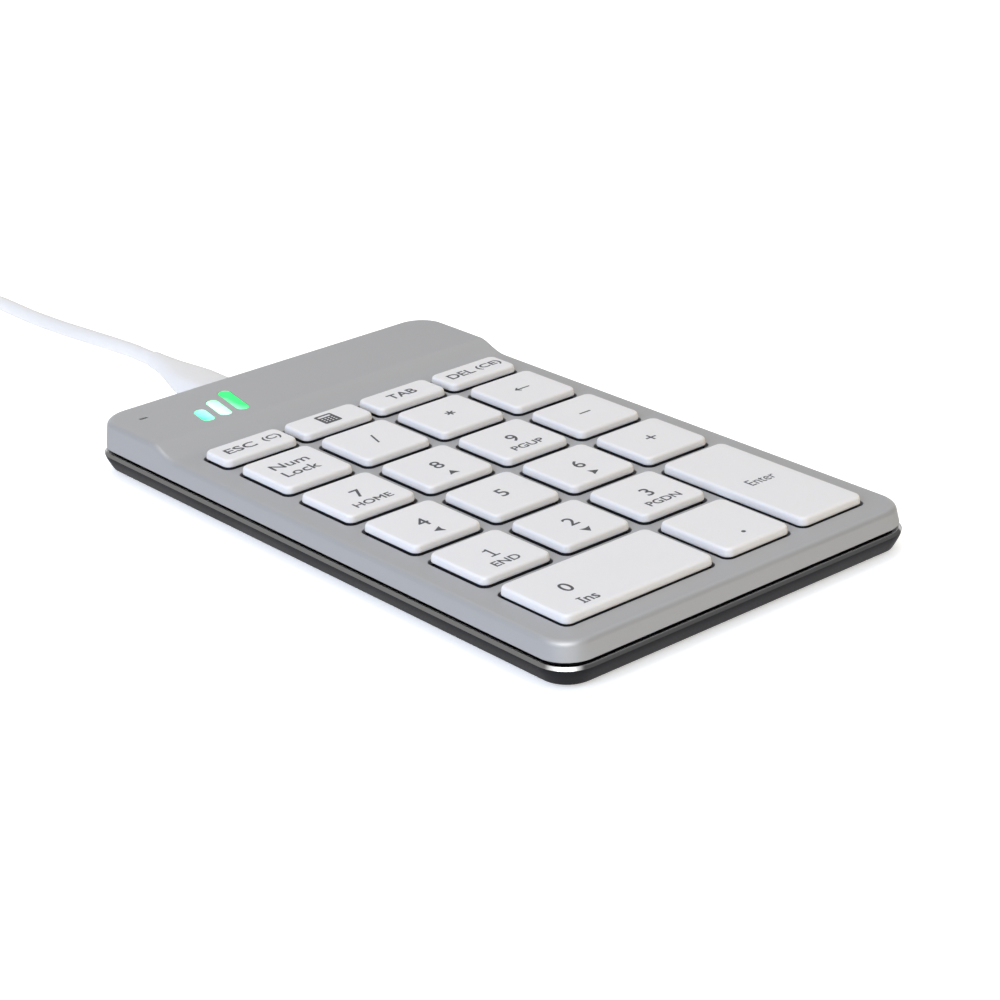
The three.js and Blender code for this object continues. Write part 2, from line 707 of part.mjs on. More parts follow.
// The slider shows at the rear; it stands at the left end of its travel.
function switchSlider() {
  const x = SWITCH.x - SWITCH.travel / 2;
  const shank = { x: around(x, 1.0), y: [66.3, 70.9], z: around(SWITCH.z, 0.4) };
  const knob = { x: around(x, 1.3), y: [70.0, 71.5], z: around(SWITCH.z, 0.65) };
  return box(shank).add(box(knob));
}

// Light pipe with a flange below the raised deck.
const statusPipe = () =>
  prism(slot(1.9, 0.7, 4, STATUS.x, STATUS.y), [5.6, RAISED_Z]).add(
    prism(slot(2.8, 1.6, 4, STATUS.x, STATUS.y), [7.9, 9.0]),
  );

function markGuide() {
  let guide = prism(roundedRect(7.0, 7.0, 1, 1, MARK.x, MARK.y), [8.0, 9.05]);
  for (const [dx, length] of MARK_BARS)
    guide = guide.add(markBar(dx, length, 0.06, [8.9, RAISED_Z]));
  return guide;
}

// ---------------------------------------------------------------- cable
const PLUG_Y = REAR_Y + 0.9; // front face of the overmould, plugged in
const CABLE_Y = 101.2; // where the cable leaves the plug
const HOST_Y = 165; // where the cable enters the second plug
const LOOP_R = 18;
const LOOP = { x: -5.2 - LOOP_R, y: 171 }; // centre of the half turn
const HOST = { x: LOOP.x - LOOP_R, z: DESK + 3.9 }; // axis of the second plug

// Metal shell of the first plug, open at the front.
const plugShell = () =>
  prismY(slot(8.2, 2.4, 6, PORT.x, PORT.z), [65.0, PLUG_Y]).subtract(
    prismY(slot(7.4, 1.6, 6, PORT.x, PORT.z), [64, 70.2]),
  );

// Overmould front to rear: [width, height, x and z from the port, y0, y1].
const PLUG_SECTIONS = [
  [10.0, 4.6, 0, 0, PLUG_Y, 82.2],
  [8.4, 4.5, 0.3, -0.05, 82, 86.2],
  [6.4, 4.3, 0.9, -0.15, 86, 89.6],
];
const PLUG_NECK = [
  [PORT.x + 1.1, 87, PORT.z - 0.2],
  [-9.9, 92, 6.1],
  [-8.9, 97, 5.8],
  [-8.1, 102, 5.4],
];
function plugOvermould() {
  return PLUG_SECTIONS.map(([width, height, dx, dz, y0, y1]) =>
    prismY(slot(width, height, 8, PORT.x + dx, PORT.z + dz), [y0, y1]),
  )
    .reduce((whole, section) => whole.add(section))
    .add(rod(PLUG_NECK, 1.95, 10, 8))
    .intersect(box({ x: [-40, 20], y: [60, CABLE_Y], z: [-5, 20] }));
}

// From the first plug down to the desk, [x, y, z].
const CABLE_START = [
  [-8.3, 99.5, 5.5],
  [-7.9, 106, 5.2],
  [-7.4, 111.5, 4.8],
  [-6.8, 126.2, 3.5],
  [-6.0, 141.2, 2.0],
  [-5.4, 156.2, 1.0],
];
// Down to the desk, rearwards, round a half turn, and up into the second plug.
function usbCable() {
  const halfTurn = arc(LOOP.x, LOOP.y, LOOP_R, 0, 2, 8).map(([x, y], i) => [
    x,
    y,
    DESK + CABLE_R + Math.max(0, (i - 6) * 0.5),
  ]);
  const path = [...CABLE_START, ...halfTurn, [HOST.x, 167, 2.6], [HOST.x, 163, 2.9]];
  // both ends are cut square where they meet the overmoulds
  return rod(path, CABLE_R, 7, 44)
    .intersect(box({ x: [-80, 60], y: [CABLE_Y + 0.05, 220], z: [-20, 30] }))
    .subtract(box({ x: [-80, LOOP.x], y: [90, HOST_Y], z: [-20, 30] }));
}

// The second plug lies flat on the desk and faces the front.
const hostOvermould = () =>
  prismY(roundedRect(7.8, 3.8, 1.6, 3, HOST.x, HOST.z), [141, 160.5]).add(
    prismY(roundedRect(3.4, 2.6, 1.4, 3, HOST.x, HOST.z), [160, HOST_Y - 0.05]),
  );
const hostShell = () =>
  prismY(roundedRect(6.0, 2.25, 0.4, 1, HOST.x, HOST.z), [122.6, 140.98]).subtract(
    prismY(roundedRect(5.7, 1.95, 0.3, 1, HOST.x, HOST.z), [122, 139.5]),
  );
const HOST_CONTACTS = {
  x: around(HOST.x, 5.5),
  y: [123.2, 139.4],
  z: [HOST.z + 0.1, HOST.z + 1.85],
};

// ---------------------------------------------------------------- assembly
const group = new THREE.Group();
function put(name, shape, finish) {
  const mesh = new THREE.Mesh(bufferOf(shape), new THREE.MeshStandardMaterial(finish));
  mesh.name = name;
  group.add(mesh);
}

for (const key of keys) put(key.name, keyCap(key), FINISH.keyCap);
put("top_cover", topCover(), FINISH.cover);
put("trim_ring", trimRing(), FINISH.trim);
put("base_shell", baseShell(), FINISH.base);
for (const [name, sideX, sideY] of CORNERS) {
  const foot = bottomRounded(footOutline(sideX, sideY, 0), FOOT.z, FOOT_EDGE);
  put("foot_" + name, foot, FINISH.foot);
}
for (const { name, x, y } of SCREWS)
  put("screw_" + name, turned(SCREW_PROFILE, 8, x, y), FINISH.screw);

put("support_plate", sheet(PLATE_Z), FINISH.plate);
put("membrane_bottom_film", bottomFilm(), FINISH.film);
put("membrane_spacer", membraneSpacer(), FINISH.spacer);
put("membrane_top_film", sheet(TOP_FILM_Z), FINISH.film);
put("dome_sheet", domeSheet(), FINISH.silicone);
put("key_guide_frame", guideFrame(), FINISH.frame);
for (const key of wiredKeys) {
  const suffix = key.wire === "x" ? "0" : "enter";
  put("stabiliser_wire_" + suffix, stabiliserWire(key), FINISH.wire);
}

put("main_pcb", box(PCB), FINISH.board);
put("wireless_module", box(WIRELESS), FINISH.moduleCan);
put("controller_chip", box(CHIP), FINISH.chip);
put("membrane_connector", box(CONNECTOR).subtract(box(CONNECTOR_SLOT)), FINISH.connector);
put("battery_cell", batteryCell(), FINISH.cell);
put("battery_lead", batteryLead(), FINISH.lead);
put("usb_c_receptacle", receptacle(), FINISH.port);
put("power_switch_body", switchBody(), FINISH.switchBody);
put("power_switch_slider", switchSlider(), FINISH.slider);
put("status_led", box(STATUS_LED), FINISH.led);
put("status_light_pipe", statusPipe(), FINISH.lightPipe);
put("emblem_led", box(MARK_LED), FINISH.led);
put("emblem_light_guide", markGuide(), FINISH.lightGuide);

put("usb_c_plug_shell", plugShell(), FINISH.plugShell);
put("usb_c_plug_overmould", plugOvermould(), FINISH.overmould);
put("usb_cable", usbCable(), FINISH.cable);
put("usb_a_plug_overmould", hostOvermould(), FINISH.overmould);
put("usb_a_plug_shell", hostShell(), FINISH.plugShell);
put("usb_a_contact_block", box(HOST_CONTACTS), FINISH.contacts);

export default group;
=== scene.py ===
"""Wireless number pad with its charging cable, built over the CAD pieces.

Lengths are in millimetres unless a comment says metres; meshes are scaled to metres when made.
The pad lies flat and centred on the origin: +x right, +y to the rear (port and switch), +z up.
The deck is level under the keys and rises to a higher strip along the rear.
"""
import json
import math
import bpy
import bmesh
from mathutils import Matrix, Vector
from mathutils.geometry import delaunay_2d_cdt


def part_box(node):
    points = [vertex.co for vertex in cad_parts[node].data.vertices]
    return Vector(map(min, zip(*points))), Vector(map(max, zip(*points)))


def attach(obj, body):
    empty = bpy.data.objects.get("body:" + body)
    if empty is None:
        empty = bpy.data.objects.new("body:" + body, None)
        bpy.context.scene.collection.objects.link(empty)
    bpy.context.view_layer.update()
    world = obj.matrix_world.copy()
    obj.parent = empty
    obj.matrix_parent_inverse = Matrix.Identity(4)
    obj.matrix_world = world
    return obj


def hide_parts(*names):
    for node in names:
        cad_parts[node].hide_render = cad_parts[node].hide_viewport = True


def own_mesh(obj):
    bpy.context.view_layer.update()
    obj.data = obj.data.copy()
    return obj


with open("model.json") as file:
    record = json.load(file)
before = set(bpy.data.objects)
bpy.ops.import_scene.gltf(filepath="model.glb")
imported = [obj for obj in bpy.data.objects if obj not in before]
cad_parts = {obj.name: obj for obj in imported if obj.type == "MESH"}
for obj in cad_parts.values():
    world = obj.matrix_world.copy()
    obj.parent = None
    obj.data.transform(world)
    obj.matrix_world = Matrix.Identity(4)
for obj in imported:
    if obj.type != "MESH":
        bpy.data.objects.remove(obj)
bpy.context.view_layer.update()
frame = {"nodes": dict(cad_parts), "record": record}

MM = 0.001
NODES = frame["nodes"]
RECORD = frame["record"]
NODE_BODY = {n: body for body, nodes in RECORD["behaviour"]["bodies"].items() for n in nodes}
NODE_SLOT = {s["node"]: s["material_slot"] for s in RECORD["subparts"]}


# ------------------------------------------------------------------ outlines
class Box:
    """A CAD node's bounding box: corners, centre and half sizes."""

    def __init__(self, node):
        self.lo, self.hi = ([v * 1000 for v in corner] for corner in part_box(node))
        self.x, self.y, self.z = ((a + b) / 2 for a, b in zip(self.lo, self.hi))
        self.half_x, self.half_y = ((b - a) / 2 for a, b in zip(self.lo[:2], self.hi[:2]))


def around(centre, half):
    return centre - half, centre + half


def round_rect(half_x, half_y, radius, seg=8, x=0.0, y=0.0, side_y=()):
    """Rounded rectangle, counterclockwise; side_y, ascending, adds points on the sides at +-x."""
    out = []
    radius = max(radius, 1e-3)
    for quarter, sx, sy in ((0, 1, 1), (1, -1, 1), (2, -1, -1), (3, 1, -1)):
        for i in range(seg + 1):
            a = (quarter + i / seg) * math.pi / 2
            out.append((x + sx * (half_x - radius) + radius * math.cos(a),
                        y + sy * (half_y - radius) + radius * math.sin(a)))
        if quarter == 1:
            out += [(x - half_x, side) for side in reversed(side_y)]
        if quarter == 3:
            out += [(x + half_x, side) for side in side_y]
    return out


def slot_outline(length, width, seg, x, y, turn=0.0):
    """Slot with round ends, lying along x and then turned by turn radians."""
    points = []
    radius = width / 2
    for end, quarter in ((length / 2 - radius, -1), (-length / 2 + radius, 1)):
        for i in range(seg + 1):
            a = (quarter + 2 * i / seg) * math.pi / 2
            points.append((end + radius * math.cos(a), radius * math.sin(a)))
    c, s = math.cos(turn), math.sin(turn)
    return [(x + px * c - py * s, y + px * s + py * c) for px, py in points]


def circle(radius, n, x=0.0, y=0.0):
    angles = [2 * math.pi * i / n for i in range(n)]
    return [(x + radius * math.cos(a), y + radius * math.sin(a)) for a in angles]


def cross_outline(span, width):
    a, b = span / 2, width / 2
    return [(b, b), (b, a), (-b, a), (-b, b), (-a, b), (-a, -b),
            (-b, -b), (-b, -a), (b, -a), (b, -b), (a, -b), (a, b)]


def at(points, z):
    """Lays an xy outline at height z."""
    return [(x, y, z) for x, y in points]


def upright(points, y):
    """Stands an xz outline up at depth y."""
    return [(x, y, z) for x, z in points]


def inset_rings(box, profile, radius, seg=8):
    """Rings inside a box's plan from (inset, z) pairs; radius(inset) is the corner radius."""
    return [at(round_rect(box.half_x - i, box.half_y - i, radius(i), seg, box.x, box.y), z)
            for i, z in profile]


def inside(x, y, outline):
    result = False
    xj, yj = outline[-1]
    for xi, yi in outline:
        if (yi > y) != (yj > y) and x < (xj - xi) * (y - yi) / (yj - yi) + xi:
            result = not result
        xj, yj = xi, yi
    return result


# ------------------------------------------------------------------ mesh kit
class Shape:
    """Collects vertices and faces in millimetres and makes one mesh object in metres."""

    def __init__(self):
        self.verts, self.faces = [], []

    def loft(self, rings, closed=False, cap0=False, cap1=False):
        """Skins rings of equal length; closed joins the last to the first."""
        index = []
        for ring in rings:
            start = len(self.verts)
            self.verts += [tuple(p) for p in ring]
            index.append(range(start, start + len(ring)))
        n = len(index[0])
        for a, b in list(zip(index, index[1:])) + ([(index[-1], index[0])] if closed else []):
            for i in range(n):
                j = (i + 1) % n
                self.faces.append((a[i], a[j], b[j], b[i]))
        if cap0:
            self.faces.append(tuple(reversed(index[0])))
        if cap1:
            self.faces.append(tuple(index[-1]))
        return self

    def prism(self, outline, z0, z1):
        return self.loft([at(outline, z0), at(outline, z1)], cap0=True, cap1=True)

    def fill(self, outer, holes, height, lines=(), flip=False):
        """Fills an xy outline round its holes; z is height(y), lines are extra edges."""
        points, edges = [], []
        for loop in [outer] + list(holes):
            start, n = len(points), len(loop)
            points += [Vector(p) for p in loop]
            edges += [(start + i, start + (i + 1) % n) for i in range(n)]
        for ends in lines:
            edges.append((len(points), len(points) + 1))
            points += [Vector(p) for p in ends]
        flat, _, triangles, *_ = delaunay_2d_cdt(points, edges, [], 0, 1e-5)
        start = len(self.verts)
        self.verts += [(v.x, v.y, height(v.y)) for v in flat]
        for face in triangles:
            x = sum(flat[i].x for i in face) / len(face)
            y = sum(flat[i].y for i in face) / len(face)
            if not inside(x, y, outer) or any(inside(x, y, hole) for hole in holes):
                continue
            face = [start + i for i in face]
            self.faces.append(tuple(reversed(face)) if flip else tuple(face))

    def plate(self, outline, holes, z0, z1):
        """Flat plate with holes."""
        self.fill(outline, holes, lambda y: z1)
        self.fill(outline, holes, lambda y: z0, flip=True)
        for loop in [outline] + holes:
            self.loft([at(loop, z0), at(loop, z1)])

    def lathe(self, x, y, profile, n=32):
        """Solid of revolution about a vertical axis from (radius, z) pairs."""
        rings = [at(circle(max(r, 1e-4), n, x, y), z) for r, z in profile]
        return self.loft(rings, cap0=True, cap1=True)

    def block(self, xs, ys, zs, ease=0.08, corner=0.2, seg=3):
        """Small block with eased edges between pairs of limits, given in either order."""
        (x0, x1), (y0, y1), (z0, z1) = xs, ys, sorted(zs)
        x, y, half_x, half_y = (x0 + x1) / 2, (y0 + y1) / 2, abs(x1 - x0) / 2, abs(y1 - y0) / 2
        corner = min(corner, half_x * 0.9, half_y * 0.9)
        profile = [(ease, z0), (0, z0 + ease), (0, z1 - ease), (ease, z1)]
        return self.loft([at(round_rect(half_x - i, half_y - i, max(corner - i, 0.02), seg, x, y), z)
                          for i, z in profile], cap0=True, cap1=True)

    def mesh_object(self, name, finish, sharp=38):
        """Cleaned object; edges over sharp degrees stay hard, None shades it flat."""
        mesh = bpy.data.meshes.new(name)
        mesh.from_pydata([(x * MM, y * MM, z * MM) for x, y, z in self.verts], [], self.faces)
        bm = bmesh.new()
        bm.from_mesh(mesh)
        bmesh.ops.remove_doubles(bm, verts=bm.verts, dist=2e-7)
        bmesh.ops.dissolve_degenerate(bm, edges=bm.edges, dist=1e-9)
        loose = [v for v in bm.verts if not v.link_faces]
        bmesh.ops.delete(bm, geom=loose, context="VERTS")
        bmesh.ops.recalc_face_normals(bm, faces=bm.faces)
        bm.to_mesh(mesh)
        bm.free()
        for polygon in mesh.polygons:
            polygon.use_smooth = sharp is not None
        if sharp is not None:
            mesh.set_sharp_from_angle(angle=math.radians(sharp))
        ob = bpy.data.objects.new(name, mesh)
        bpy.context.scene.collection.objects.link(ob)
        mesh.materials.append(FINISHES[finish])
        return ob

    def make(self, name, body, finish, node=None, slot=None, sharp=38):
        """Object riding on a body with its finish, replacing a CAD node. The slot argument is not
        used.
        """
        ob = self.mesh_object(name, finish, sharp)
        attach(ob, body)
        if node:
            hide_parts(node)
        return ob


def carve(target, cutters, sharp):
    """Cuts the cutters out of the target for good and removes them."""
    for cutter in cutters:
        cut = target.modifiers.new("cut", "BOOLEAN")
        cut.operation, cut.solver, cut.object = "DIFFERENCE", "EXACT", cutter
    depsgraph = bpy.context.evaluated_depsgraph_get()
    mesh = bpy.data.meshes.new_from_object(target.evaluated_get(depsgraph), depsgraph=depsgraph)
    target.modifiers.clear()
    target.data = mesh
    mesh.set_sharp_from_angle(angle=math.radians(sharp))
    for cutter in cutters:
        bpy.data.objects.remove(cutter)


def round_bar(points, radius, n, steps):
    """Round bar along a Catmull-Rom path, with steps rings between neighbouring points."""
    points = [Vector(p) for p in points]
    path = []
    for i in range(len(points) - 1):
        p0, p1, p2 = points[max(i - 1, 0)], points[i], points[i + 1]
        p3 = points[min(i + 2, len(points) - 1)]
        for k in range(steps):
            t = k / steps
            path.append(0.5 * ((2 * p1) + (p2 - p0) * t + (2 * p0 - 5 * p1 + 4 * p2 - p3) * t * t
                               + (3 * p1 - p0 - 3 * p2 + p3) * t ** 3))
    path.append(points[-1])
    rings = []
    normal = None
    for i, p in enumerate(path):
        along = (path[min(i + 1, len(path) - 1)] - path[max(i - 1, 0)]).normalized()
        if normal is None:
            normal = Vector((0, 0, 1)).cross(along).normalized()
        else:
            normal = (normal - along * normal.dot(along)).normalized()
        across = along.cross(normal)
        rings.append([tuple(p + (normal * math.cos(a) + across * math.sin(a)) * radius)
                      for a in (2 * math.pi * k / n for k in range(n))])
    return Shape().loft(rings, cap0=True, cap1=True)


# ------------------------------------------------------------------ shader kit
def set_inputs(tree, node, inputs):
    """Sets a node's inputs, or links those given as another node's socket."""
    for key, value in inputs.items():
        if isinstance(value, bpy.types.NodeSocket):
            tree.links.new(value, node.inputs[key])
        else:
            node.inputs[key].default_value = value


def add_node(tree, kind, inputs=None, **settings):
    node = tree.nodes.new("ShaderNode" + kind)
    for key, value in settings.items():
        setattr(node, key, value)
    set_inputs(tree, node, inputs or {})
    return node


def map_range(tree, value, source, target, **settings):
    """Maps value from the source limits to the target limits."""
    inputs = dict(enumerate((value, *source, *target)))
    return add_node(tree, "MapRange", inputs, **settings).outputs[0]


def split_glossy(tree, seen, mirrored, output):
    """Shows one shader directly and another in mirrored light."""
    path = add_node(tree, "LightPath")
    mix = add_node(tree, "MixShader", {
        0: path.outputs["Is Glossy Ray"], 1: seen.outputs[0], 2: mirrored.outputs[0]})
    tree.links.new(mix.outputs[0], tree.nodes[output].inputs["Surface"])


def new_material(name):
    material = bpy.data.materials.new(name)
    material.use_nodes = True
    tree = material.node_tree
    return material, tree, tree.nodes["Principled BSDF"]


# ------------------------------------------------------------------ materials
FINISHES = {}


def finish(name, colour, *, rough, grain, bump, metal=0.0, depth=0.004, tint=0.03,
           rough_var=0.06, coat=0.0, sss=0.0, stretch=None, cloud=60, spec=0.5):
    """Surface with colour clouds, fine grain in the bump and uneven roughness.

    grain and cloud are frequencies per metre, depth is the grain's height in mm, tint and
    rough_var are the spread of colour and roughness, stretch scales the grain along x, y, z.
    """
    material, tree, shader = new_material(name)
    place = add_node(tree, "TexCoord").outputs["Object"]
    grain_place = place
    if stretch:
        mapping = add_node(tree, "Mapping", {"Scale": stretch, "Vector": place})
        grain_place = mapping.outputs["Vector"]
    clouds = add_node(tree, "TexNoise", {"Scale": cloud, "Detail": 3, "Vector": place})
    fine = add_node(tree, "TexNoise", {"Scale": grain, "Detail": 2, "Vector": grain_place})
    total = add_node(tree, "Math", {0: clouds.outputs["Fac"], 1: fine.outputs["Fac"]},
                     operation="ADD")
    mean = add_node(tree, "Math", {0: total.outputs[0], 1: 0.5}, operation="MULTIPLY").outputs[0]
    dark = (*(c * (1 - tint) for c in colour), 1)
    light = (*(min(c * (1 + tint), 1) for c in colour), 1)
    mix = add_node(tree, "Mix", data_type="RGBA")
    set_inputs(tree, mix, {0: mean, 6: dark, 7: light})
    roughness = map_range(tree, mean, source=(0.3, 0.7),
                          target=(max(rough - rough_var, 0.02), min(rough + rough_var, 1)))
    relief = add_node(tree, "Bump", {
        "Strength": bump, "Distance": depth * MM, "Height": fine.outputs["Fac"]})
    set_inputs(tree, shader, {
        "Base Color": mix.outputs[2], "Roughness": roughness, "Normal": relief.outputs["Normal"],
        "Metallic": metal, "Specular IOR Level": spec})
    if coat:
        set_inputs(tree, shader, {"Coat Weight": coat, "Coat Roughness": 0.1})
    if sss:
        set_inputs(tree, shader, {
            "Subsurface Weight": sss, "Subsurface Radius": (1.0, 0.8, 0.6),
            "Subsurface Scale": 0.0008})
    FINISHES[name] = material


finish("keycap_white", (0.725, 0.712, 0.708), rough=0.44, grain=5200, bump=0.16, depth=0.006,
       tint=0.012, sss=0.35)
finish("cover_silver", (0.392, 0.391, 0.394), rough=0.40, metal=0.35, grain=8200, bump=0.14,
       depth=0.005, tint=0.035, rough_var=0.05, cloud=25)
finish("trim_polished", (0.52, 0.52, 0.525), rough=0.11, metal=1.0, grain=900, bump=0.05,
       depth=0.002, tint=0.02, rough_var=0.05, stretch=(0.15, 0.15, 6))
finish("base_black", (0.010, 0.010, 0.012), rough=0.38, grain=2600, bump=0.04, tint=0.1,
       rough_var=0.07, spec=0.2)
finish("groove_black", (0.01, 0.01, 0.012), rough=0.55, grain=5000, bump=0.2, tint=0.1)
finish("foot_rubber", (0.022, 0.022, 0.022), rough=0.82, grain=3800, bump=0.5, depth=0.02,
       tint=0.15)
finish("screw_steel", (0.42, 0.42, 0.44), rough=0.32, metal=1.0, grain=3000, bump=0.2,
       depth=0.005, stretch=(1, 1, 9))
finish("plate_steel", (0.5, 0.51, 0.52), rough=0.38, metal=1.0, grain=900, bump=0.2, depth=0.01,
       stretch=(8, 0.4, 1))
finish("film_polyester", (0.80, 0.78, 0.70), rough=0.22, grain=300, bump=0.05, depth=0.01,
       coat=0.3)
finish("dome_silicone", (0.62, 0.65, 0.67), rough=0.6, grain=4000, bump=0.2, depth=0.01, sss=0.3)
finish("frame_black", (0.02, 0.02, 0.023), rough=0.5, grain=4600, bump=0.3, depth=0.01, tint=0.1)
finish("wire_steel", (0.6, 0.61, 0.62), rough=0.28, metal=1.0, grain=1500, bump=0.1)
finish("board_green", (0.02, 0.14, 0.05), rough=0.35, grain=1400, bump=0.25, depth=0.02,
       tint=0.25, coat=0.5)
finish("can_steel", (0.62, 0.63, 0.64), rough=0.3, metal=1.0, grain=1600, bump=0.15, depth=0.01,
       stretch=(5, 0.5, 1))
finish("chip_black", (0.02, 0.02, 0.021), rough=0.6, grain=7000, bump=0.4, depth=0.01, tint=0.15)
finish("connector_ivory", (0.78, 0.74, 0.64), rough=0.45, grain=5000, bump=0.2, depth=0.01)
finish("battery_foil", (0.55, 0.57, 0.6), rough=0.33, metal=0.9, grain=700, bump=0.4, depth=0.03,
       tint=0.06)
finish("lead_red", (0.45, 0.03, 0.02), rough=0.5, grain=3000, bump=0.2, depth=0.01, tint=0.08)
finish("slider_black", (0.03, 0.03, 0.032), rough=0.48, grain=4500, bump=0.3, depth=0.01,
       tint=0.1)
finish("led_cream", (0.85, 0.8, 0.6), rough=0.3, grain=3000, bump=0.1, depth=0.005)
finish("window_smoke", (0.03, 0.03, 0.034), rough=0.2, grain=2000, bump=0.05, depth=0.003,
       tint=0.1, coat=0.5)
finish("plug_steel", (0.72, 0.73, 0.74), rough=0.24, metal=1.0, grain=1500, bump=0.12,
       depth=0.006, stretch=(1, 0.2, 1))
finish("cable_white", (0.70, 0.69, 0.68), rough=0.5, grain=4200, bump=0.2, depth=0.01,
       tint=0.015, sss=0.08)
finish("contact_white", (0.82, 0.81, 0.78), rough=0.45, grain=4500, bump=0.2, depth=0.008)
finish("ink_grey", (0.062, 0.062, 0.066), rough=0.55, grain=9000, bump=0.2, depth=0.003,
       tint=0.12)
finish("gold_contact", (0.83, 0.62, 0.25), rough=0.25, metal=1.0, grain=1500, bump=0.1)

MARK_LO, MARK_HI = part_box("emblem_light_guide")      # metres


def srgb(*channels):
    """Linear RGBA from 0-255 sRGB channels."""
    def linear(c):
        return c / 255 / 12.92 if c / 255 <= 0.04045 else ((c / 255 + 0.055) / 1.055) ** 2.4
    return (*map(linear, channels), 1.0)


def mark_finish():
    """The glowing mark: green at the left, pale mint in the middle, deeper green at the right."""
    material, tree, shader = new_material("mark_green")
    place = add_node(tree, "TexCoord").outputs["Object"]
    axes = add_node(tree, "SeparateXYZ", {0: place})
    across = map_range(tree, axes.outputs["X"], target=(0, 1),
                       source=(MARK_LO.x + 0.001, MARK_HI.x - 0.001))
    noise = add_node(tree, "TexNoise", {"Scale": 420, "Vector": place})
    uneven = add_node(tree, "Math", {0: noise.outputs["Fac"], 1: 0.25, 2: across},
                      operation="MULTIPLY_ADD")
    ramp = add_node(tree, "ValToRGB", {0: uneven.outputs[0]})
    stops = ramp.color_ramp.elements
    stops[0].position, stops[0].color = 0.1, srgb(70, 255, 170)
    stops[1].position, stops[1].color = 1.05, srgb(0, 205, 95)
    stops.new(0.55).color = srgb(190, 255, 228)
    set_inputs(tree, shader, {
        "Base Color": ramp.outputs["Color"], "Emission Color": ramp.outputs["Color"],
        "Emission Strength": 0.95, "Roughness": 0.35})
    FINISHES["mark_green"] = material


mark_finish()

# every CAD node takes its slot's finish; the pieces made below replace some of them
for node, ob in NODES.items():
    ob.data.materials.clear()
    ob.data.materials.append(FINISHES[NODE_SLOT[node]])

# ------------------------------------------------------------------ shared dimensions
cover_box = Box("top_cover")
HALF_W, HALF_D = cover_box.half_x, cover_box.half_y
CORNER = 6.3                          # plan corner radius of the body
COVER_Z0 = 4.5                        # lower edge of the cover
DECK_Z, RAISED_Z = 8.2, cover_box.hi[2]
DECK_T = 1.1
SLOPE_Y0, SLOPE_Y1 = 41.9, 50.7       # the deck rises between these
SLOPE_Y = [SLOPE_Y0 + (SLOPE_Y1 - SLOPE_Y0) * i / 22 for i in range(23)]
SIDE_Y = [-60 + 20 * i for i in range(6)] + SLOPE_Y + [53, 58, 63]
PITCH = 19.0
KEY_TAB = 0.85                        # tabs stand this far beyond the cap, front and rear
port = Box("usb_c_receptacle")
FEET = {n[5:]: Box(n) for n in NODES if n.startswith("foot_")}
SCREWS = {n[6:]: Box(n) for n in NODES if n.startswith("screw_")}


def deck_top(y):
    t = min(max((y - SLOPE_Y0) / (SLOPE_Y1 - SLOPE_Y0), 0.0), 1.0) ** 1.35
    return DECK_Z + (RAISED_Z - DECK_Z) * (t * t * (3 - 2 * t))


def body_ring(inset, soft=1.0):
    """The body's plan, moved inwards; soft < 1 keeps the corners rounder than an offset would."""
    return round_rect(HALF_W - inset, HALF_D - inset, CORNER - soft * inset, 14, side_y=SIDE_Y)


def cap_box(node):
    cap = Box(node)
    cap.half_y -= KEY_TAB
    cap.body = NODE_BODY[node]
    return cap


CAPS = {n[4:]: cap_box(n) for n in NODES if n.startswith("key_") and n != "key_guide_frame"}

# ------------------------------------------------------------------ keys
SKIRT_Z = 6.5                         # lower edge of the plunger skirt
CAP_WALL = 1.32
EDGE_IN, EDGE_R = 0.11, 0.58          # the cap's rounded upper edge
CAP_CORNER, CAP_TAPER = 1.55, 0.55


def key_cap(name, cap, rim):
    """White cap: a shallow pan with eased edges, open below."""
    top = cap.hi[2]
    profile = [(CAP_WALL, rim), (0.3, rim), (0.12, rim + 0.01), (0.03, rim + 0.05),
               (0.0, rim + 0.13), (0.02, rim + 0.45), (0.1, top - 0.6)]
    for k in range(1, 11):
        a = k / 10 * math.pi / 2
        profile.append((EDGE_IN + EDGE_R * (1 - math.cos(a)), top - EDGE_R + EDGE_R * math.sin(a)))
    profile.append((EDGE_IN + EDGE_R + 0.2, top))
    part = Shape()
    part.loft(inset_rings(cap, profile, lambda i: max(CAP_CORNER - i * CAP_TAPER, 0.3)), cap1=True)
    hollow = [(CAP_WALL, rim), (1.36, 8.6), (1.5, 8.74), (1.75, 8.8)]
    hollow_corner = CAP_CORNER - CAP_WALL * CAP_TAPER
    part.loft(inset_rings(cap, hollow, lambda i: max(hollow_corner - (i - CAP_WALL) * 0.8, 0.25)),
              cap1=True)
    part.make("cap_" + name, cap.body, "keycap_white", "key_" + name, sharp=50)


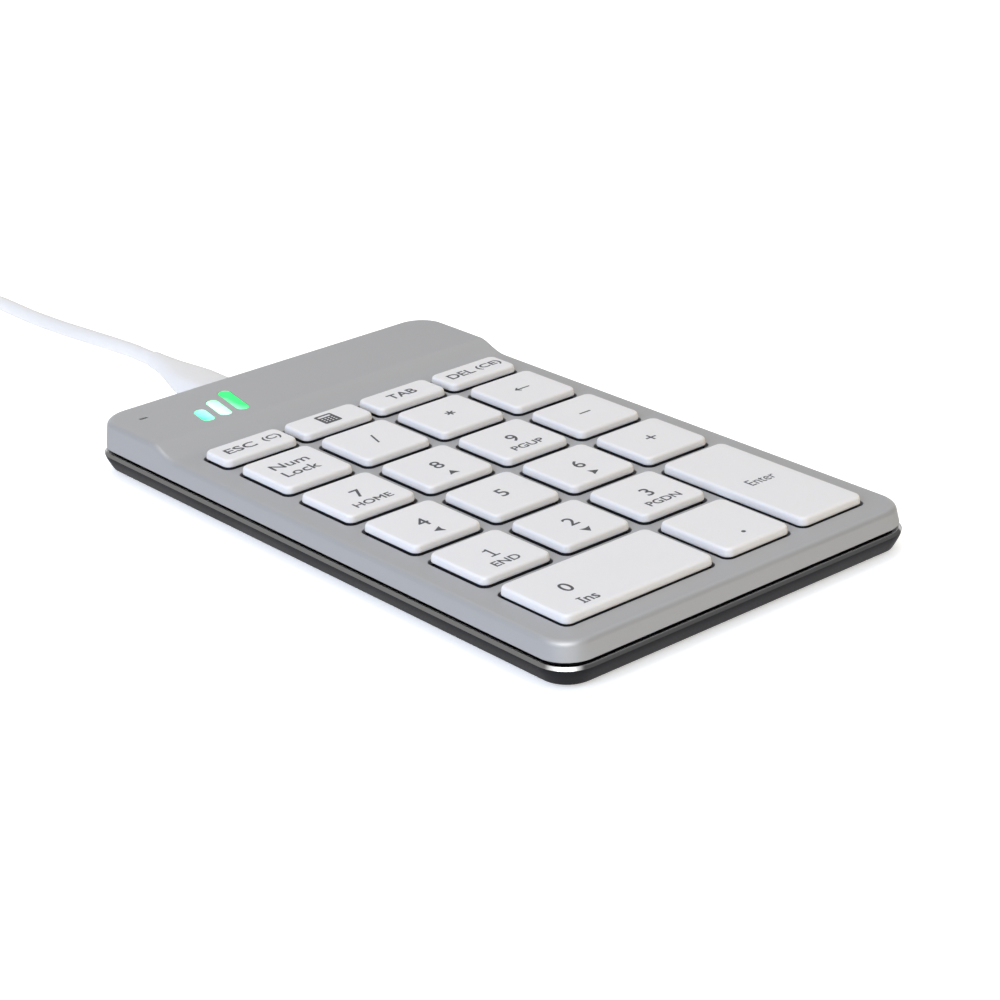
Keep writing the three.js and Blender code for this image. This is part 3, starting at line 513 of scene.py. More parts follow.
def key_plunger(name, cap, rim):
    """Frame under the cap: skirt, plunger, ribs, tabs and stabiliser forks, in black as painted
    shade so the gaps round the caps read dark.
    """
    part = Shape()
    under = rim - 0.012
    profile = [(0.9, SKIRT_Z), (0.6, SKIRT_Z), (0.5, SKIRT_Z + 0.1), (0.5, under),
               (1.3, under), (1.3, SKIRT_Z + 0.1), (1.2, SKIRT_Z)]
    part.loft(inset_rings(cap, profile, lambda i: max(1.25 - (i - 0.5) * 0.7, 0.3)), closed=True)
    foot = cap.lo[2]
    part.lathe(cap.x, cap.y, [(0, foot), (1.25, foot), (1.5, foot + 0.25), (1.55, 8.2),
                              (1.9, 8.78), (0, 8.78)], 24)
    # ribs from plunger to skirt: inner end, outer inset, half width, z limits, ease
    ribs = [(3.0, 1.2, 0.4, (7.9, rim - 0.03), 0.05),
            (3.0, 1.9, 0.39, (rim - 0.04, 8.5), 0.03),
            (1.4, 1.9, 0.4, (8.34, 8.79), 0.03)]
    for side in (-1, 1):
        for start, inset, half, zs, ease in ribs:
            part.block((cap.x + side * start, cap.x + side * (cap.half_x - inset)),
                       around(cap.y, half), zs, ease, 0.1, 2)
        part.block(around(cap.x, 4), (cap.y + side * (cap.half_y - 1.0),
                                      cap.y + side * (cap.half_y + KEY_TAB)),
                   (SKIRT_Z + 0.01, 6.9))
    if name in ("0", "enter"):
        for offset in (-8, 8):
            for side in (-1, 1):
                if name == "0":
                    x, y = around(cap.x + offset, 0.8), around(cap.y - 4.2 + side * 1.05, 0.3)
                else:
                    x, y = around(cap.x - 4.2 + side * 1.05, 0.3), around(cap.y + offset, 0.8)
                part.block(x, y, (6.4, 8.79), 0.05, 0.1, 2)
    # painted shade: this hidden part takes the black frame finish so the gaps round the caps look
    # dark
    part.make("plunger_" + name, cap.body, "frame_black", slot="keycap_white", sharp=40)


for name, cap in CAPS.items():
    rim = 8.25 if name in ("0", "dot", "enter") else 8.38
    key_cap(name, cap, rim)
    key_plunger(name, cap, rim)

# ------------------------------------------------------------------ legends
INK_T, INK_SUNK = 0.018, 0.004        # printed layer: thickness, depth below the cap's top
DIGIT_H, WORD_H = 3.4, 2.05
STROKE = 0.42
LEGENDS = {name: Shape() for name in CAPS}


def text_mesh(text, height, width):
    """Built-in font text scaled to height and width, centred; z is 0 below and 1 above."""
    curve = bpy.data.curves.new("text", "FONT")
    curve.body = text
    curve.resolution_u = 6
    curve.extrude = 0.01
    ob = bpy.data.objects.new("text", curve)
    bpy.context.scene.collection.objects.link(ob)
    depsgraph = bpy.context.evaluated_depsgraph_get()
    mesh = bpy.data.meshes.new_from_object(ob.evaluated_get(depsgraph), depsgraph=depsgraph)
    bpy.data.objects.remove(ob)
    bpy.data.curves.remove(curve)
    (x0, x1), (y0, y1), (z0, z1) = (
        (min(values), max(values)) for values in zip(*(v.co for v in mesh.vertices)))
    scale_y = height / (y1 - y0)
    scale_x = width / (x1 - x0) if width else scale_y
    verts = [((v.co.x - (x0 + x1) / 2) * scale_x, (v.co.y - (y0 + y1) / 2) * scale_y,
              0.0 if v.co.z < (z0 + z1) / 2 else 1.0) for v in mesh.vertices]
    faces = [tuple(f.vertices) for f in mesh.polygons]
    bpy.data.meshes.remove(mesh)
    return verts, faces


def print_text(key, text, dx, dy, height, width=None, bold=0.0):
    """Printed text; bold overlays four copies, each moved by bold in x and y."""
    cap, ink = CAPS[key], LEGENDS[key]
    verts, faces = text_mesh(text, height - 2 * bold, width - 2 * bold if width else None)
    shifts = ((-1, -1), (1, -1), (1, 1), (-1, 1)) if bold else ((0, 0),)
    for k, (u, v) in enumerate(shifts):
        start = len(ink.verts)
        # each copy is a little higher, so no two tops coincide
        ink.verts += [(cap.x + dx + x + u * bold, cap.y + dy + y + v * bold,
                       cap.hi[2] - INK_SUNK + z * (INK_T + 0.001 * k)) for x, y, z in verts]
        ink.faces += [tuple(start + i for i in f) for f in faces]


def on_cap(key, points, dx=0, dy=0):
    return [(CAPS[key].x + dx + x, CAPS[key].y + dy + y) for x, y in points]


def ink_heights(key):
    bottom = CAPS[key].hi[2] - INK_SUNK
    return bottom, bottom + INK_T


def print_shape(key, points, dx=0, dy=0):
    LEGENDS[key].prism(on_cap(key, points, dx, dy), *ink_heights(key))


def asterisk():
    points = []
    for k in range(6):
        a = math.pi / 2 + k * math.pi / 3
        along, across = Vector((math.cos(a), math.sin(a))), Vector((-math.sin(a), math.cos(a)))
        points += [tuple(along * 1.1 + across * s) for s in (-0.2, 0.2)]
        a += math.pi / 6
        points.append((0.42 * math.cos(a), 0.42 * math.sin(a)))
    return points


def quarter_turns(points, count):
    for _ in range(count):
        points = [(-y, x) for x, y in points]
    return points


def print_calculator():
    """Calculator sign: a body with a display and three rows of buttons left open."""
    holes = [round_rect(1.5, 0.34, 0.1, 2, 0, 1.35)]
    holes += [round_rect(0.2, 0.19, 0.05, 2, -1.2 + 0.8 * column, 0.3 - 0.75 * row)
              for row in range(3) for column in range(4)]
    key = "calculator"
    LEGENDS[key].plate(on_cap(key, round_rect(2.05, 2.25, 0.4, 4)),
                       [on_cap(key, hole) for hole in holes], *ink_heights(key))


# outlines as x, y about their own centres
ONE = [(-0.9, -1.7), (1.1, -1.7), (1.1, -1.34), (0.34, -1.34), (0.34, 1.7), (0.05, 1.7),
       (-0.12, 1.5), (-0.4, 1.36), (-0.85, 1.3), (-0.85, 1.0), (-0.08, 1.0), (-0.08, -1.34),
       (-0.9, -1.34)]
CAPITAL_I = [(-0.52, -1.2), (0.52, -1.2), (0.52, -0.92), (0.19, -0.92), (0.19, 0.92),
             (0.52, 0.92), (0.52, 1.2), (-0.52, 1.2), (-0.52, 0.92), (-0.19, 0.92),
             (-0.19, -0.92), (-0.52, -0.92)]
LEFT_ARROW = [(-1.9, 0), (-0.9, 0.95), (-0.62, 0.68), (-1.12, 0.2), (1.9, 0.2), (1.9, -0.2),
              (-1.12, -0.2), (-0.62, -0.68), (-0.9, -0.95)]
ARROW_HEAD = [(0, 1.0), (1.15, -0.92), (0, -0.66), (-1.15, -0.92)]

# key, text, x and y from the cap's centre, height, width, bold
TEXTS = [
    ("7", "HOME", 0.1, -4.5, WORD_H, 8.6, 0.035),
    ("9", "PGUP", 0.1, -4.5, WORD_H, 7.6, 0.035),
    ("1", "END", 0.0, -4.4, WORD_H, 5.9, 0.035),
    ("3", "PGDN", 0.0, -4.5, WORD_H, 7.9, 0.035),
    ("0", "ns", -9.0, -6.1, 1.8, 2.75, 0.035),
    ("num_lock", "Num", -0.3, 2.1, 2.65, 8.4, 0.035),
    ("num_lock", "Lock", -0.6, -2.2, 2.65, 8.0, 0.035),
    ("divide", "/", 0, 0, 4.0),
    ("enter", "Enter", 0, 0, 2.6, 6.5),
    ("esc", "ESC", -2.55, 0, 2.5, 7.0, 0.045),
    ("esc", "(C)", 4.9, 0, 2.6, 4.0, 0.05),
    ("tab", "TAB", 0, 0, 2.5, 6.7, 0.045),
    ("del", "DEL", -3.2, 0, 2.5, 6.3, 0.045),
    ("del", "(CE)", 4.2, 0, 2.6, 6.2, 0.05),
]
# key, outline, x and y from the cap's centre
SHAPES = [
    ("dot", circle(0.45, 20), -0.1, -5.0),
    ("minus", round_rect(1.4, STROKE / 2, 0.08, 3)),
    ("plus", cross_outline(2.5, STROKE)),
    ("multiply", asterisk()),
    ("backspace", LEFT_ARROW),
]
for digit in "78945623":
    print_text(digit, digit, 0.0, 0.0, DIGIT_H, bold=0.03)
print_text("0", "0", -9.6, 0.0, DIGIT_H, bold=0.03)
print_shape("1", ONE)
print_shape("0", CAPITAL_I, -11.1, -5.8)
for row in TEXTS:
    print_text(*row)
for row in SHAPES:
    print_shape(*row)
for turns, key in enumerate("8426"):
    print_shape(key, quarter_turns(ARROW_HEAD, turns if key in "84" else {"2": 2, "6": 3}[key]),
                0, -4.7)
print_calculator()
for name, ink in LEGENDS.items():
    if ink.verts:
        ink.make("legend_" + name, CAPS[name].body, "ink_grey", slot="keycap_white", sharp=None)

# ------------------------------------------------------------------ top cover
MARK_X, MARK_Y = (MARK_LO.x + MARK_HI.x) * 500, (MARK_LO.y + MARK_HI.y) * 500
BARS = [(-4.5, 6.6), (0.0, 9.2), (4.5, 11.8)]       # x from the mark's centre, length
BAR_W, BAR_SLANT = 2.7, -0.2
WINDOW_X, WINDOW_Y = -35.7, 63.2                    # status window
CAP_GAP = 0.40
TOP_IN = 1.85                                       # the flat of the deck starts this far in
COVER_EDGE_R = 1.2
OPENING_EASE = 0.16
POST_X = 38.4


def bar_outline(dx, length, inset):
    return slot_outline(length - 2 * inset, BAR_W - 2 * inset, 10, MARK_X + dx,
                        MARK_Y - 5.9 + length / 2, math.pi / 2 + BAR_SLANT)


def openings(grow):
    """Outlines of the deck's openings, each grown by grow."""
    out = [round_rect(cap.half_x + CAP_GAP + grow, cap.half_y + CAP_GAP + 0.03 + grow,
                      1.65 + grow, 8, cap.x, cap.y) for cap in CAPS.values()]
    out += [bar_outline(dx, length, -grow) for dx, length in BARS]
    out.append(slot_outline(2.0 + 2 * grow, 0.8 + 2 * grow, 8, WINDOW_X, WINDOW_Y))
    return out


def cover_edge(y):
    return COVER_Z0


def cover_rings(profile):
    """Rings from (inset, level, rise, soft): z is rise above level(y)."""
    return [[(x, y, level(y) + rise) for x, y in body_ring(inset, soft)]
            for inset, level, rise, soft in profile]


def rear_cutter(name, outline):
    rings = [upright(outline, y) for y in (68.4, HALF_D + 1)]
    return Shape().loft(rings, cap0=True, cap1=True).mesh_object(name, "frame_black")


def top_shell():
    part = Shape()
    outer = [(0.35, cover_edge, 0, 0.4), (0.1, cover_edge, 0.05, 0.4), (0.0, cover_edge, 0.2, 0.4)]
    for k in range(13):
        a = math.radians(8 + (90 - 8) * k / 12)
        outer.append((1.6 - COVER_EDGE_R * math.cos(a), deck_top,
                      -COVER_EDGE_R + COVER_EDGE_R * math.sin(a), 0.4))
    outer.append((TOP_IN, deck_top, 0.0, 0.4))
    part.loft(cover_rings(outer))
    lines = [((-(HALF_W - TOP_IN), y), (HALF_W - TOP_IN, y)) for y in SLOPE_Y]
    part.fill(body_ring(TOP_IN, 0.4), openings(0.3), deck_top, lines)

    # walls of the openings, from an eased upper edge: growth of the outline, height
    steps = [(0.3, 0.0)]
    for k in range(6):
        a = k / 5 * math.pi / 2
        steps.append((OPENING_EASE * (1 - math.sin(a)), -OPENING_EASE * (1 - math.cos(a))))
    steps.append((0.0, -DECK_T))
    for outlines in zip(*(openings(grow) for grow, _ in steps)):
        part.loft([[(x, y, deck_top(y) + rise) for x, y in reversed(outline)]
                   for outline, (_, rise) in zip(outlines, steps)])

    # inside of the shell
    inner = [(0.35, cover_edge, 0.0, 0.4), (0.95, cover_edge, 0.0, 1.0),
             (1.2, cover_edge, 0.2, 1.0), (1.3, deck_top, -DECK_T - 0.5, 1.0),
             (1.45, deck_top, -DECK_T - 0.15, 1.0), (TOP_IN, deck_top, -DECK_T, 1.0)]
    part.loft(cover_rings(inner))
    part.fill(body_ring(TOP_IN), openings(0.0), lambda y: deck_top(y) - DECK_T, lines, flip=True)

    # hollow posts under the deck
    for side in (-1, 1):
        for y in (-60, 56):
            low, high = 2.7, deck_top(y) - DECK_T + 0.05
            post = [(1.75, low), (1.75, high - 0.12), (1.75 - 0.12, high),
                    (0.9 + 0.12, high), (0.9, high - 0.12), (0.9, low)]
            part.loft([at(circle(r, 24, POST_X * side, y), z) for r, z in post], closed=True)
    cover = part.make("top_shell", "housing", "cover_silver", "top_cover", sharp=34)
    carve(cover, [
        rear_cutter("cut_port", slot_outline(9.7, 3.7, 10, port.x, port.z)),
        rear_cutter("cut_switch", round_rect(2.7, 0.85, 0.25, 4, -1.0, 6.6)),
    ], sharp=34)


def trim_band():
    profile = [(1.15, 3.3), (-0.5, 3.3), (-0.49, 3.31), (-0.06, 3.85), (0.0, 3.89),
               (0.06, 3.9), (1.15, 3.9)]
    rings = [at(round_rect(HALF_W - i, HALF_D - i, CORNER - i, 16, side_y=(-40, 0, 40)), z)
             for i, z in profile]
    Shape().loft(rings, closed=True).make("trim_band", "housing", "trim_polished", "trim_ring",
                                          sharp=28)


top_shell()
trim_band()

# ------------------------------------------------------------------ base, feet and screws
FLOOR_Z = 1.2                         # inner face of the base
FOOT_CORNER = 1.5


def foot_hole(foot, grow):
    return round_rect(foot.half_x + grow, foot.half_y + grow, FOOT_CORNER + grow, 6,
                      foot.x, foot.y)


def bottom_shell():
    part = Shape()
    # (inset, z) up the outside, then over the wall and down the inside of the lip
    outside = [(1.3, 0.0), (1.15, 0.0), (1.0, 0.09), (0.85, 0.33), (0.62, 0.75), (0.32, 1.3),
               (0.0, 1.9), (-0.28, 2.5), (-0.42, 2.95), (-0.48, 3.2), (-0.48, 3.27),
               (-0.44, 3.29)]
    lip = [(-0.44, 3.29), (1.44, 3.29), (1.5, 3.36), (1.5, 5.45), (1.62, 5.6), (2.35, 5.6),
           (2.5, 5.45), (2.5, 1.5), (2.8, FLOOR_Z)]
    for profile in (outside, lip):
        part.loft([at(body_ring(i), z) for i, z in profile])
    # (radius, z) of a screw well and the boss above it
    well = [(2.05, 0.0), (1.9, 0.15), (1.9, 1.0), (1.05, 1.0), (1.05, 2.6), (1.65, 2.6),
            (1.65, FLOOR_Z)]
    holes = [foot_hole(foot, 0.3) for foot in FEET.values()]
    holes += [circle(well[0][0], 28, screw.x, screw.y) for screw in SCREWS.values()]
    part.fill(body_ring(1.3), holes, lambda y: 0.0, flip=True)
    for foot in FEET.values():
        part.loft([at(foot_hole(foot, grow), z)
                   for grow, z in ((0.3, 0.0), (0.15, 0.12), (0.15, 0.4))], cap1=True)
    for screw in SCREWS.values():
        part.loft([at(circle(r, 28, screw.x, screw.y), z) for r, z in well])
    bosses = [circle(well[-1][0], 28, screw.x, screw.y) for screw in SCREWS.values()]
    part.fill(body_ring(2.8), bosses, lambda y: FLOOR_Z)
    for x in (-PITCH, 0, PITCH):
        part.block(around(x, 0.6), (-67, 42.6), (1.15, 1.5), 0.05, 0.3)
    for x in (-33, 1):
        for y in (53, 66):
            part.lathe(x, y, [(0, 1.15), (1.3, 1.15), (1.3, 3.9), (1.2, 4.0), (0, 4.0)], 20)
    base = part.make("bottom_shell", "housing", "base_black", "base_shell", sharp=34)
    notch = Shape().prism(round_rect(5.2, 1.5, 0.3, 4, port.x, 69.0), 4.3, 7)
    carve(base, [notch.mesh_object("cut_lip", "frame_black")], sharp=34)


def foot_pad(name, foot):
    def corner(inset):
        return FOOT_CORNER - inset * 0.6

    low, high = foot.lo[2], foot.hi[2]
    part = Shape()
    part.loft(inset_rings(foot, [
        (0.4, high), (0.0, high - 0.1), (0.0, low + 0.35), (0.06, low + 0.2),
        (0.18, low + 0.07), (0.35, low)], corner), cap0=True)
    # tread: a shallow recess inside the rim, crossed by bars
    recess_corner = {0.35: corner(0.35), 0.8: 1.0, 0.9: 0.9}
    part.loft(inset_rings(foot, [(0.35, low), (0.8, low), (0.9, low + 0.1)],
                          recess_corner.get), cap1=True)
    for k in range(-4, 5):
        part.block(around(foot.x + k * 1.1, 0.28), around(foot.y, foot.half_y - 1.1),
                   (low + 0.01, low + 0.2), 0.05)
    part.make("pad_" + name, "housing", "foot_rubber", "foot_" + name)


def fastener(name, screw):
    """Screw with its head downwards and a cross recess cut into it."""
    top = screw.hi[2]
    profile = [(0, top), (0.78, top - 0.5), (0.78, 1.0), (1.6, 1.0), (1.6, 0.45), (1.5, 0.28),
               (1.2, 0.17), (0.9, 0.15), (0, 0.15)]
    ob = Shape().lathe(screw.x, screw.y, profile).make(
        "fastener_" + name, "housing", "screw_steel", "screw_" + name, sharp=30)
    recess = [(screw.x + x, screw.y + y) for x, y in cross_outline(1.9, 0.42)]
    cutter = Shape().prism(recess, -0.5, 0.62).mesh_object("cut_cross", "screw_steel")
    carve(ob, [cutter], sharp=30)


bottom_shell()
for name, foot in FEET.items():
    foot_pad(name, foot)
for name, screw in SCREWS.items():
    fastener(name, screw)


# ------------------------------------------------------------------ mark and status window
def mark_light_guide():
    part = Shape().block(around(MARK_X, 7.0), around(MARK_Y, 7.0), (8.0, 9.05), 0.08, 1.0, 4)
    profile = [(0.05, 9.0), (0.05, RAISED_Z - 0.1), (0.12, RAISED_Z - 0.03),
               (0.25, RAISED_Z), (0.6, RAISED_Z + 0.01)]
    for dx, length in BARS:
        part.loft([at(bar_outline(dx, length, i), z) for i, z in profile], cap0=True, cap1=True)
    part.make("mark_light_guide", "housing", "mark_green", "emblem_light_guide")


def status_window():
    # length, width, z
    sections = [(1.9, 0.7, 5.6), (1.9, 0.7, 7.9), (2.8, 1.6, 7.9), (2.8, 1.6, 9.0),
                (1.9, 0.7, 9.0), (1.9, 0.7, RAISED_Z - 0.16), (1.75, 0.55, RAISED_Z - 0.1)]
    Shape().loft([at(slot_outline(length, width, 10, WINDOW_X, WINDOW_Y), z)
                  for length, width, z in sections], cap0=True, cap1=True).make(
        "status_window", "housing", "window_smoke", "status_light_pipe")


mark_light_guide()
status_window()

# ------------------------------------------------------------------ charging cable
CABLE = "charging_cable"
PLUG_Y = Box("usb_c_plug_overmould").lo[1]          # front face of the plug's moulded body
DESK_Z = -0.8
CABLE_R = 1.6
LOOP_R, LOOP_X, LOOP_Y = 18.0, -23.2, 171.0
HOST_X, HOST_Z = LOOP_X - LOOP_R, DESK_Z + 3.9      # axis of the plug at the far end

# moulded body and neck: y, x and z from the port's centre, width, height
PLUG_SECTIONS = [
    (PLUG_Y, 0, 0, 9.0, 3.6), (PLUG_Y + 0.06, 0, 0, 9.6, 4.2), (PLUG_Y + 0.25, 0, 0, 9.3, 3.9),
    (PLUG_Y + 0.5, 0, 0, 9.9, 4.5), (PLUG_Y + 0.9, 0, 0, 10.0, 4.6), (77.0, 0, 0, 10.0, 4.6),
    (80.5, 0.05, 0, 9.9, 4.6), (82.5, 0.15, -0.03, 9.4, 4.58), (84.5, 0.35, -0.06, 8.6, 4.52),
    (86.5, 0.6, -0.1, 7.7, 4.45), (88.5, 0.9, -0.15, 6.8, 4.35), (90.5, 1.2, -0.22, 6.0, 4.25),
    (92.5, 1.6, -0.32, 5.3, 4.12), (94.5, 2.0, -0.45, 4.75, 4.0), (96.5, 2.35, -0.58, 4.35, 3.9),
    (98.5, 2.7, -0.72, 4.05, 3.8), (100.3, 3.0, -0.85, 3.85, 3.7), (101.0, 3.1, -0.9, 3.75, 3.6),
    (101.2, 3.13, -0.92, 3.5, 3.35),
]
# outside towards the tip, then back down the inside: y, width, height
PLUG_SHELL = [
    (PLUG_Y + 0.3, 8.2, 2.4), (65.25, 8.2, 2.4), (65.07, 8.1, 2.3), (65.0, 7.9, 2.1),
    (65.0, 7.6, 1.8), (65.15, 7.4, 1.6), (70.2, 7.4, 1.6),
]
# y, half width, half height, corner radius
HOST_SECTIONS = [
    (141.0, 6.9, 2.9, 1.2), (141.0, 7.3, 3.3, 1.4), (141.25, 7.65, 3.65, 1.6),
    (141.7, 7.8, 3.8, 1.7), (150, 7.8, 3.8, 1.7), (158.6, 7.8, 3.8, 1.7),
    (159.6, 7.6, 3.65, 1.8), (160.2, 7.0, 3.3, 1.8), (160.45, 5.6, 2.9, 1.7),
    (160.5, 3.6, 2.7, 1.5), (161.0, 3.3, 2.55, 1.5), (163.5, 2.9, 2.4, 1.6),
    (164.7, 2.5, 2.2, 1.6), (164.95, 2.2, 2.0, 1.6),
]
# the same columns, outside towards the tip and back down the inside
HOST_SHELL = [
    (140.98, 6.0, 2.25, 0.5), (122.9, 6.0, 2.25, 0.5), (122.65, 5.93, 2.18, 0.45),
    (122.6, 5.85, 2.1, 0.4), (122.6, 5.75, 2.0, 0.3), (122.7, 5.7, 1.95, 0.3),
    (139.5, 5.7, 1.95, 0.3),
]


def charging_plug():
    body = [upright(slot_outline(width, height, 10, port.x + dx, port.z + dz), y)
            for y, dx, dz, width, height in PLUG_SECTIONS]
    Shape().loft(body, cap0=True, cap1=True).make(
        "charging_plug_body", CABLE, "cable_white", "usb_c_plug_overmould", sharp=50)
    shell = Shape().loft([upright(slot_outline(width, height, 12, port.x, port.z), y)
                          for y, width, height in PLUG_SHELL], cap0=True, cap1=True)
    for side in (-1, 1):              # two thin pads on the upper face
        shell.block(around(port.x + side * 2.2, 0.7), (66.6, 67.9),
                    (port.z + 1.16, port.z + 1.215), 0.02)
    shell.make("charging_plug_shell", CABLE, "plug_steel", "usb_c_plug_shell", sharp=40)


def cable_jacket():
    """The cable leaves the plug, sinks to the desk and turns back in a half circle."""
    path = [(-8.27, 101.0, 5.48), (-7.9, 106, 5.2), (-7.4, 111.5, 4.8), (-6.8, 126.2, 3.5),
            (-6.0, 141.2, 2.0), (-5.4, 156.2, 1.0)]
    for i in range(9):
        a = i / 8 * math.pi
        path.append((LOOP_X + LOOP_R * math.cos(a), LOOP_Y + LOOP_R * math.sin(a),
                     DESK_Z + CABLE_R + max(0, (i - 6) * 0.5)))
    path += [(HOST_X, 167, 2.6), (HOST_X, 164.8, 2.95)]
    part = round_bar(path, CABLE_R, n=28, steps=9)
    # it rests on the desk, never below it
    part.verts = [(x, y, max(z, DESK_Z + 0.01)) for x, y, z in part.verts]
    part.make("cable_jacket", CABLE, "cable_white", "usb_cable", sharp=60)


def host_loft(sections):
    rings = [upright(round_rect(half_x, half_z, radius, 6, HOST_X, HOST_Z), y)
             for y, half_x, half_z, radius in sections]
    return Shape().loft(rings, cap0=True, cap1=True)


def host_plug():
    body = host_loft(HOST_SECTIONS)
    for side in (-1, 1):              # ribs on the sides
        for k in range(5):
            body.block((HOST_X + side * 7.4, HOST_X + side * 7.8), around(147 + k * 2.0, 0.45),
                       around(HOST_Z, 2.1), 0.12, 0.1)
    body.make("host_plug_body", CABLE, "cable_white", "usb_a_plug_overmould", sharp=50)

    shell = host_loft(HOST_SHELL).make(
        "host_plug_shell", CABLE, "plug_steel", "usb_a_plug_shell", sharp=40)
    windows = []
    for side in (-1, 1):
        for up in (-1, 1):
            outline = round_rect(1.15, 1.1, 0.12, 3, HOST_X + side * 2.9, 129.8)
            cutter = Shape().prism(outline, HOST_Z + up * 1.7, HOST_Z + up * 3.0)
            windows.append(cutter.mesh_object("cut_window", "plug_steel"))
    carve(shell, windows, sharp=40)

    Shape().block(around(HOST_X, 5.5), (123.2, 139.4), (HOST_Z + 0.1, HOST_Z + 1.85),
                  0.12, 0.3).make(
        "host_plug_insulator", CABLE, "contact_white", "usb_a_contact_block", sharp=40)
    contacts = Shape()
    for dx, y in ((-3.5, 124.2), (-1.0, 125.2), (1.0, 125.2), (3.5, 124.2)):
        contacts.block(around(HOST_X + dx, 0.5), (y, 133.0), (HOST_Z + 0.02, HOST_Z + 0.13), 0.03)
    contacts.make("host_plug_contacts", CABLE, "gold_contact", slot="contact_white")


charging_plug()
cable_jacket()
host_plug()


# ------------------------------------------------------------------ port contacts and switch
def receptacle_contacts():
    part = Shape()
    for k in range(12):
        for up in (-1, 1):
            part.block(around(port.x - 2.75 + 0.5 * k, 0.13), (65.2, 69.1),
                       (port.z + up * 0.33, port.z + up * 0.38), 0.01, 0.05, 1)
    part.make("receptacle_contacts", "housing", "gold_contact", slot="can_steel")


def switch_knob():
    slider = Box("power_switch_slider")
    front, rear = slider.lo[1], slider.hi[1]
    part = Shape().block(around(slider.x, 1.0), (front, 70.4), (6.2, 7.0), 0.06, 0.1)
    part.block(around(slider.x, 1.3), (70.0, rear - 0.1), (5.95, 7.25), 0.12, 0.15)
    for dx in (-0.8, -0.27, 0.27, 0.8):
        part.block(around(slider.x + dx, 0.12), (rear - 0.2, rear), (6.1, 7.1), 0.04, 0.05, 1)
    part.make("switch_knob", "switch_slider", "slider_black", "power_switch_slider")


receptacle_contacts()
switch_knob()

# ------------------------------------------------------------------ domes
CARRIER_HOLES = [(-PITCH, -25.75), (PITCH, -6.75), (-PITCH, 31.2), (PITCH, 31.2)]
# radius, z: under the dome from its centre outwards, then back over the outside
DOME = [(0.001, 3.0), (1.3, 3.0), (2.3, 2.9), (3.1, 2.81), (3.7, 2.81), (3.6, 2.9), (3.0, 3.05),
        (2.3, 3.25), (1.85, 3.5), (1.7, 3.8), (1.62, 4.3), (1.5, 4.4), (0.001, 4.4)]


def dome_carrier():
    sheet = Box("dome_sheet")
    holes = [circle(1.15, 20, x, y) for x, y in CARRIER_HOLES]
    holes += [circle(3.3, 32, cap.x, cap.y) for cap in CAPS.values()]
    part = Shape()
    part.plate(round_rect(sheet.half_x, sheet.half_y, 1.5, 6, 0, sheet.y), holes, 2.5, 2.8)
    part.make("dome_carrier", "housing", "dome_silicone", "dome_sheet")


dome_carrier()
for name, cap in CAPS.items():
    dome = Shape().lathe(cap.x, cap.y, DOME).make("dome_" + name, "housing", "dome_silicone")
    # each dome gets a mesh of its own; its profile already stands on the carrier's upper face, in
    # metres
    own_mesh(dome)


# ------------------------------------------------------------------ stage (metres)
def add_floor(half=6.0):
    z = DESK_Z * MM - 0.00002
    mesh = bpy.data.meshes.new("floor")
    mesh.from_pydata([(-half, -half, z), (half, -half, z), (half, half, z), (-half, half, z)],
                     [], [(0, 1, 2, 3)])
    floor = bpy.data.objects.new("floor", mesh)
    bpy.context.scene.collection.objects.link(floor)
    material, tree, shader = new_material("floor")
    set_inputs(tree, shader, {
        "Base Color": (0.93, 0.93, 0.93, 1), "Roughness": 0.85, "Specular IOR Level": 0.15,
        "Emission Color": (1, 1, 1, 1), "Emission Strength": 0.44})
    # in mirrored light the floor is a mid grey, so the black base stays dark
    grey = add_node(tree, "Emission", {"Color": (0.98, 0.98, 1.0, 1), "Strength": 0.55})
    split_glossy(tree, shader, grey, "Material Output")
    mesh.materials.append(material)


# soft patches of the mirrored room: direction, cosines to it where the patch starts and is
# full, strengths there
ROOM = [
    ((-0.7, 0.7, 0), (-0.8, 0.85), (0.14, 0.35)),            # general light, rear left brighter
    ((-0.35, -0.20, 0.85), (0.74, 0.94), (0.0, 1.45)),       # overhead, towards the front left
    ((0.4, 0.25, 0.88), (0.70, 0.95), (0.0, 0.48)),          # overhead, towards the rear right
    ((0.6, 0.7, 0.36), (0.70, 0.97), (0.0, 0.24)),           # rear right
    ((-0.64, -0.76, 0.06), (0.72, 0.98), (0.0, 1.3)),        # low at the front left
    ((0.93, 0.36, 0.05), (0.93, 0.985), (0.0, 0.8)),         # low at the right
    ((0.37, 0.92, 0.0), (0.93, 0.985), (0.0, 0.8)),          # level at the rear
    ((-0.43, -0.33, 0.82), (0.90, 0.985), (0.0, 3.6)),       # small bright spot overhead
]


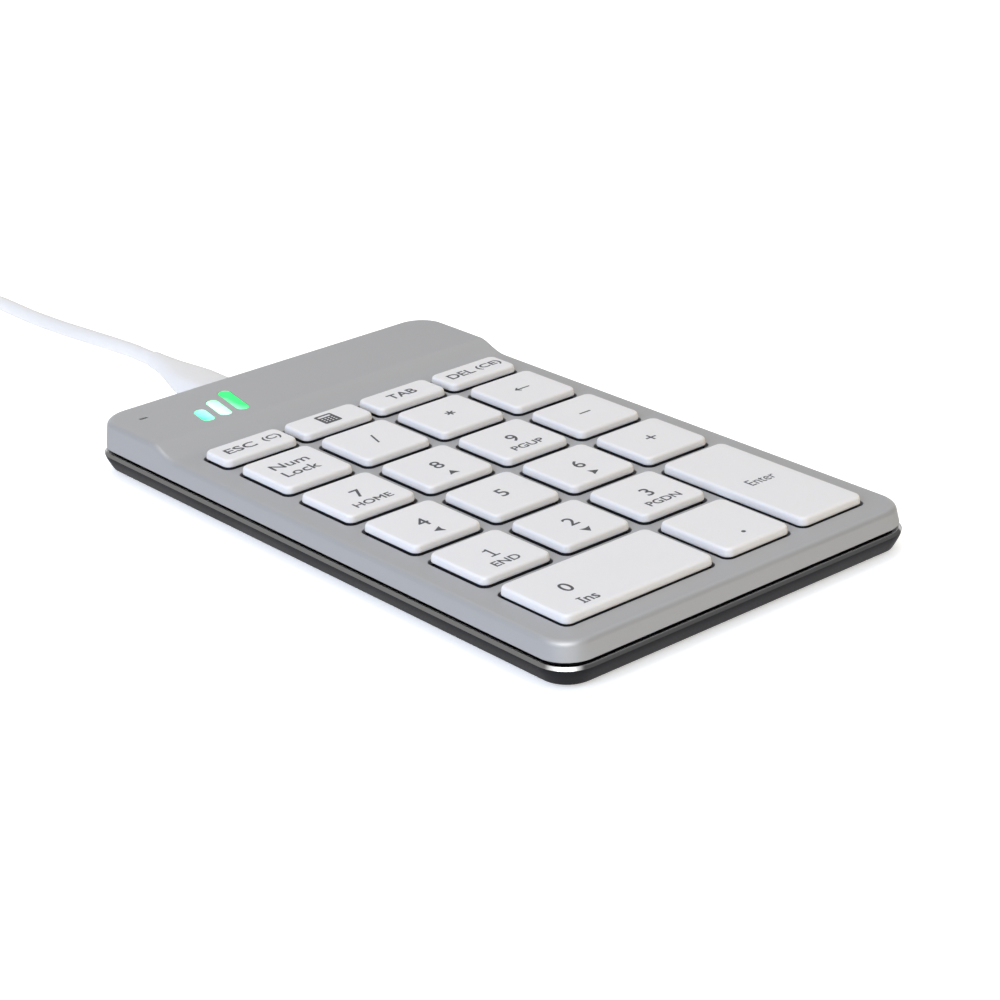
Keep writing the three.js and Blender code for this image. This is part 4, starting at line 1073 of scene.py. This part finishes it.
def add_world():
    """Even light for the scene, with a darker patchy room for the polished parts to mirror."""
    world = bpy.data.worlds.new("studio")
    bpy.context.scene.world = world
    world.use_nodes = True
    tree = world.node_tree
    even = tree.nodes["Background"]
    set_inputs(tree, even, {"Color": (1.0, 0.99, 0.99, 1), "Strength": 0.66})
    room = add_node(tree, "Background", {"Color": (1.0, 0.995, 0.985, 1)})
    view = add_node(tree, "TexCoord").outputs["Generated"]
    total = None
    for direction, cosines, strengths in ROOM:
        cosine = add_node(tree, "VectorMath", operation="DOT_PRODUCT")
        set_inputs(tree, cosine, {0: view, 1: Vector(direction).normalized()})
        patch = map_range(tree, cosine.outputs["Value"], cosines, strengths,
                          interpolation_type="SMOOTHSTEP")
        if total is None:
            total = patch
        else:
            total = add_node(tree, "Math", {0: total, 1: patch}, operation="ADD").outputs[0]
    tree.links.new(total, room.inputs["Strength"])
    split_glossy(tree, even, room, "World Output")


def area_light(name, place, size, power, colour):
    """Rectangular light aimed at the origin and left out of reflections."""
    light = bpy.data.lights.new(name, "AREA")
    light.shape = "RECTANGLE"
    light.size, light.size_y = size
    light.energy = power
    light.color = colour
    ob = bpy.data.objects.new(name, light)
    bpy.context.scene.collection.objects.link(ob)
    ob.location = place
    ob.rotation_mode = "QUATERNION"
    ob.rotation_quaternion = (-Vector(place)).to_track_quat("-Z", "Y")
    ob.visible_glossy = False


def add_camera():
    camera = bpy.data.cameras.new("camera")
    camera.sensor_width = 36
    camera.lens = 99.692
    camera.clip_start, camera.clip_end = 0.01, 20
    ob = bpy.data.objects.new("camera", camera)
    bpy.context.scene.collection.objects.link(ob)
    # columns: the camera's right, up and backward axes, then its place
    ob.matrix_world = Matrix((
        (0.7593950804, 0.2832914845, -0.5857175486, -0.3107391),
        (-0.6495549728, 0.2783793407, -0.7075191022, -0.3797103),
        (-0.0373824718, 0.9177422718, 0.3954132943, 0.2115862),
        (0, 0, 0, 1)))
    bpy.context.scene.camera = ob


add_floor()
add_world()
area_light("top_box", place=(0.10, 0.25, 0.9), size=(0.9, 0.9), power=2.3,
           colour=(1, 0.975, 0.935))
area_light("left_box", place=(-0.84, -0.18, 0.40), size=(0.8, 0.5), power=6.8,
           colour=(0.60, 0.73, 0.97))
area_light("front_box", place=(0.22, -0.93, 0.27), size=(0.7, 0.4), power=1.8,
           colour=(1.0, 0.80, 0.32))
add_camera()

view = bpy.context.scene.view_settings
view.view_transform = "Standard"
view.look = "None"
view.exposure = 0.0
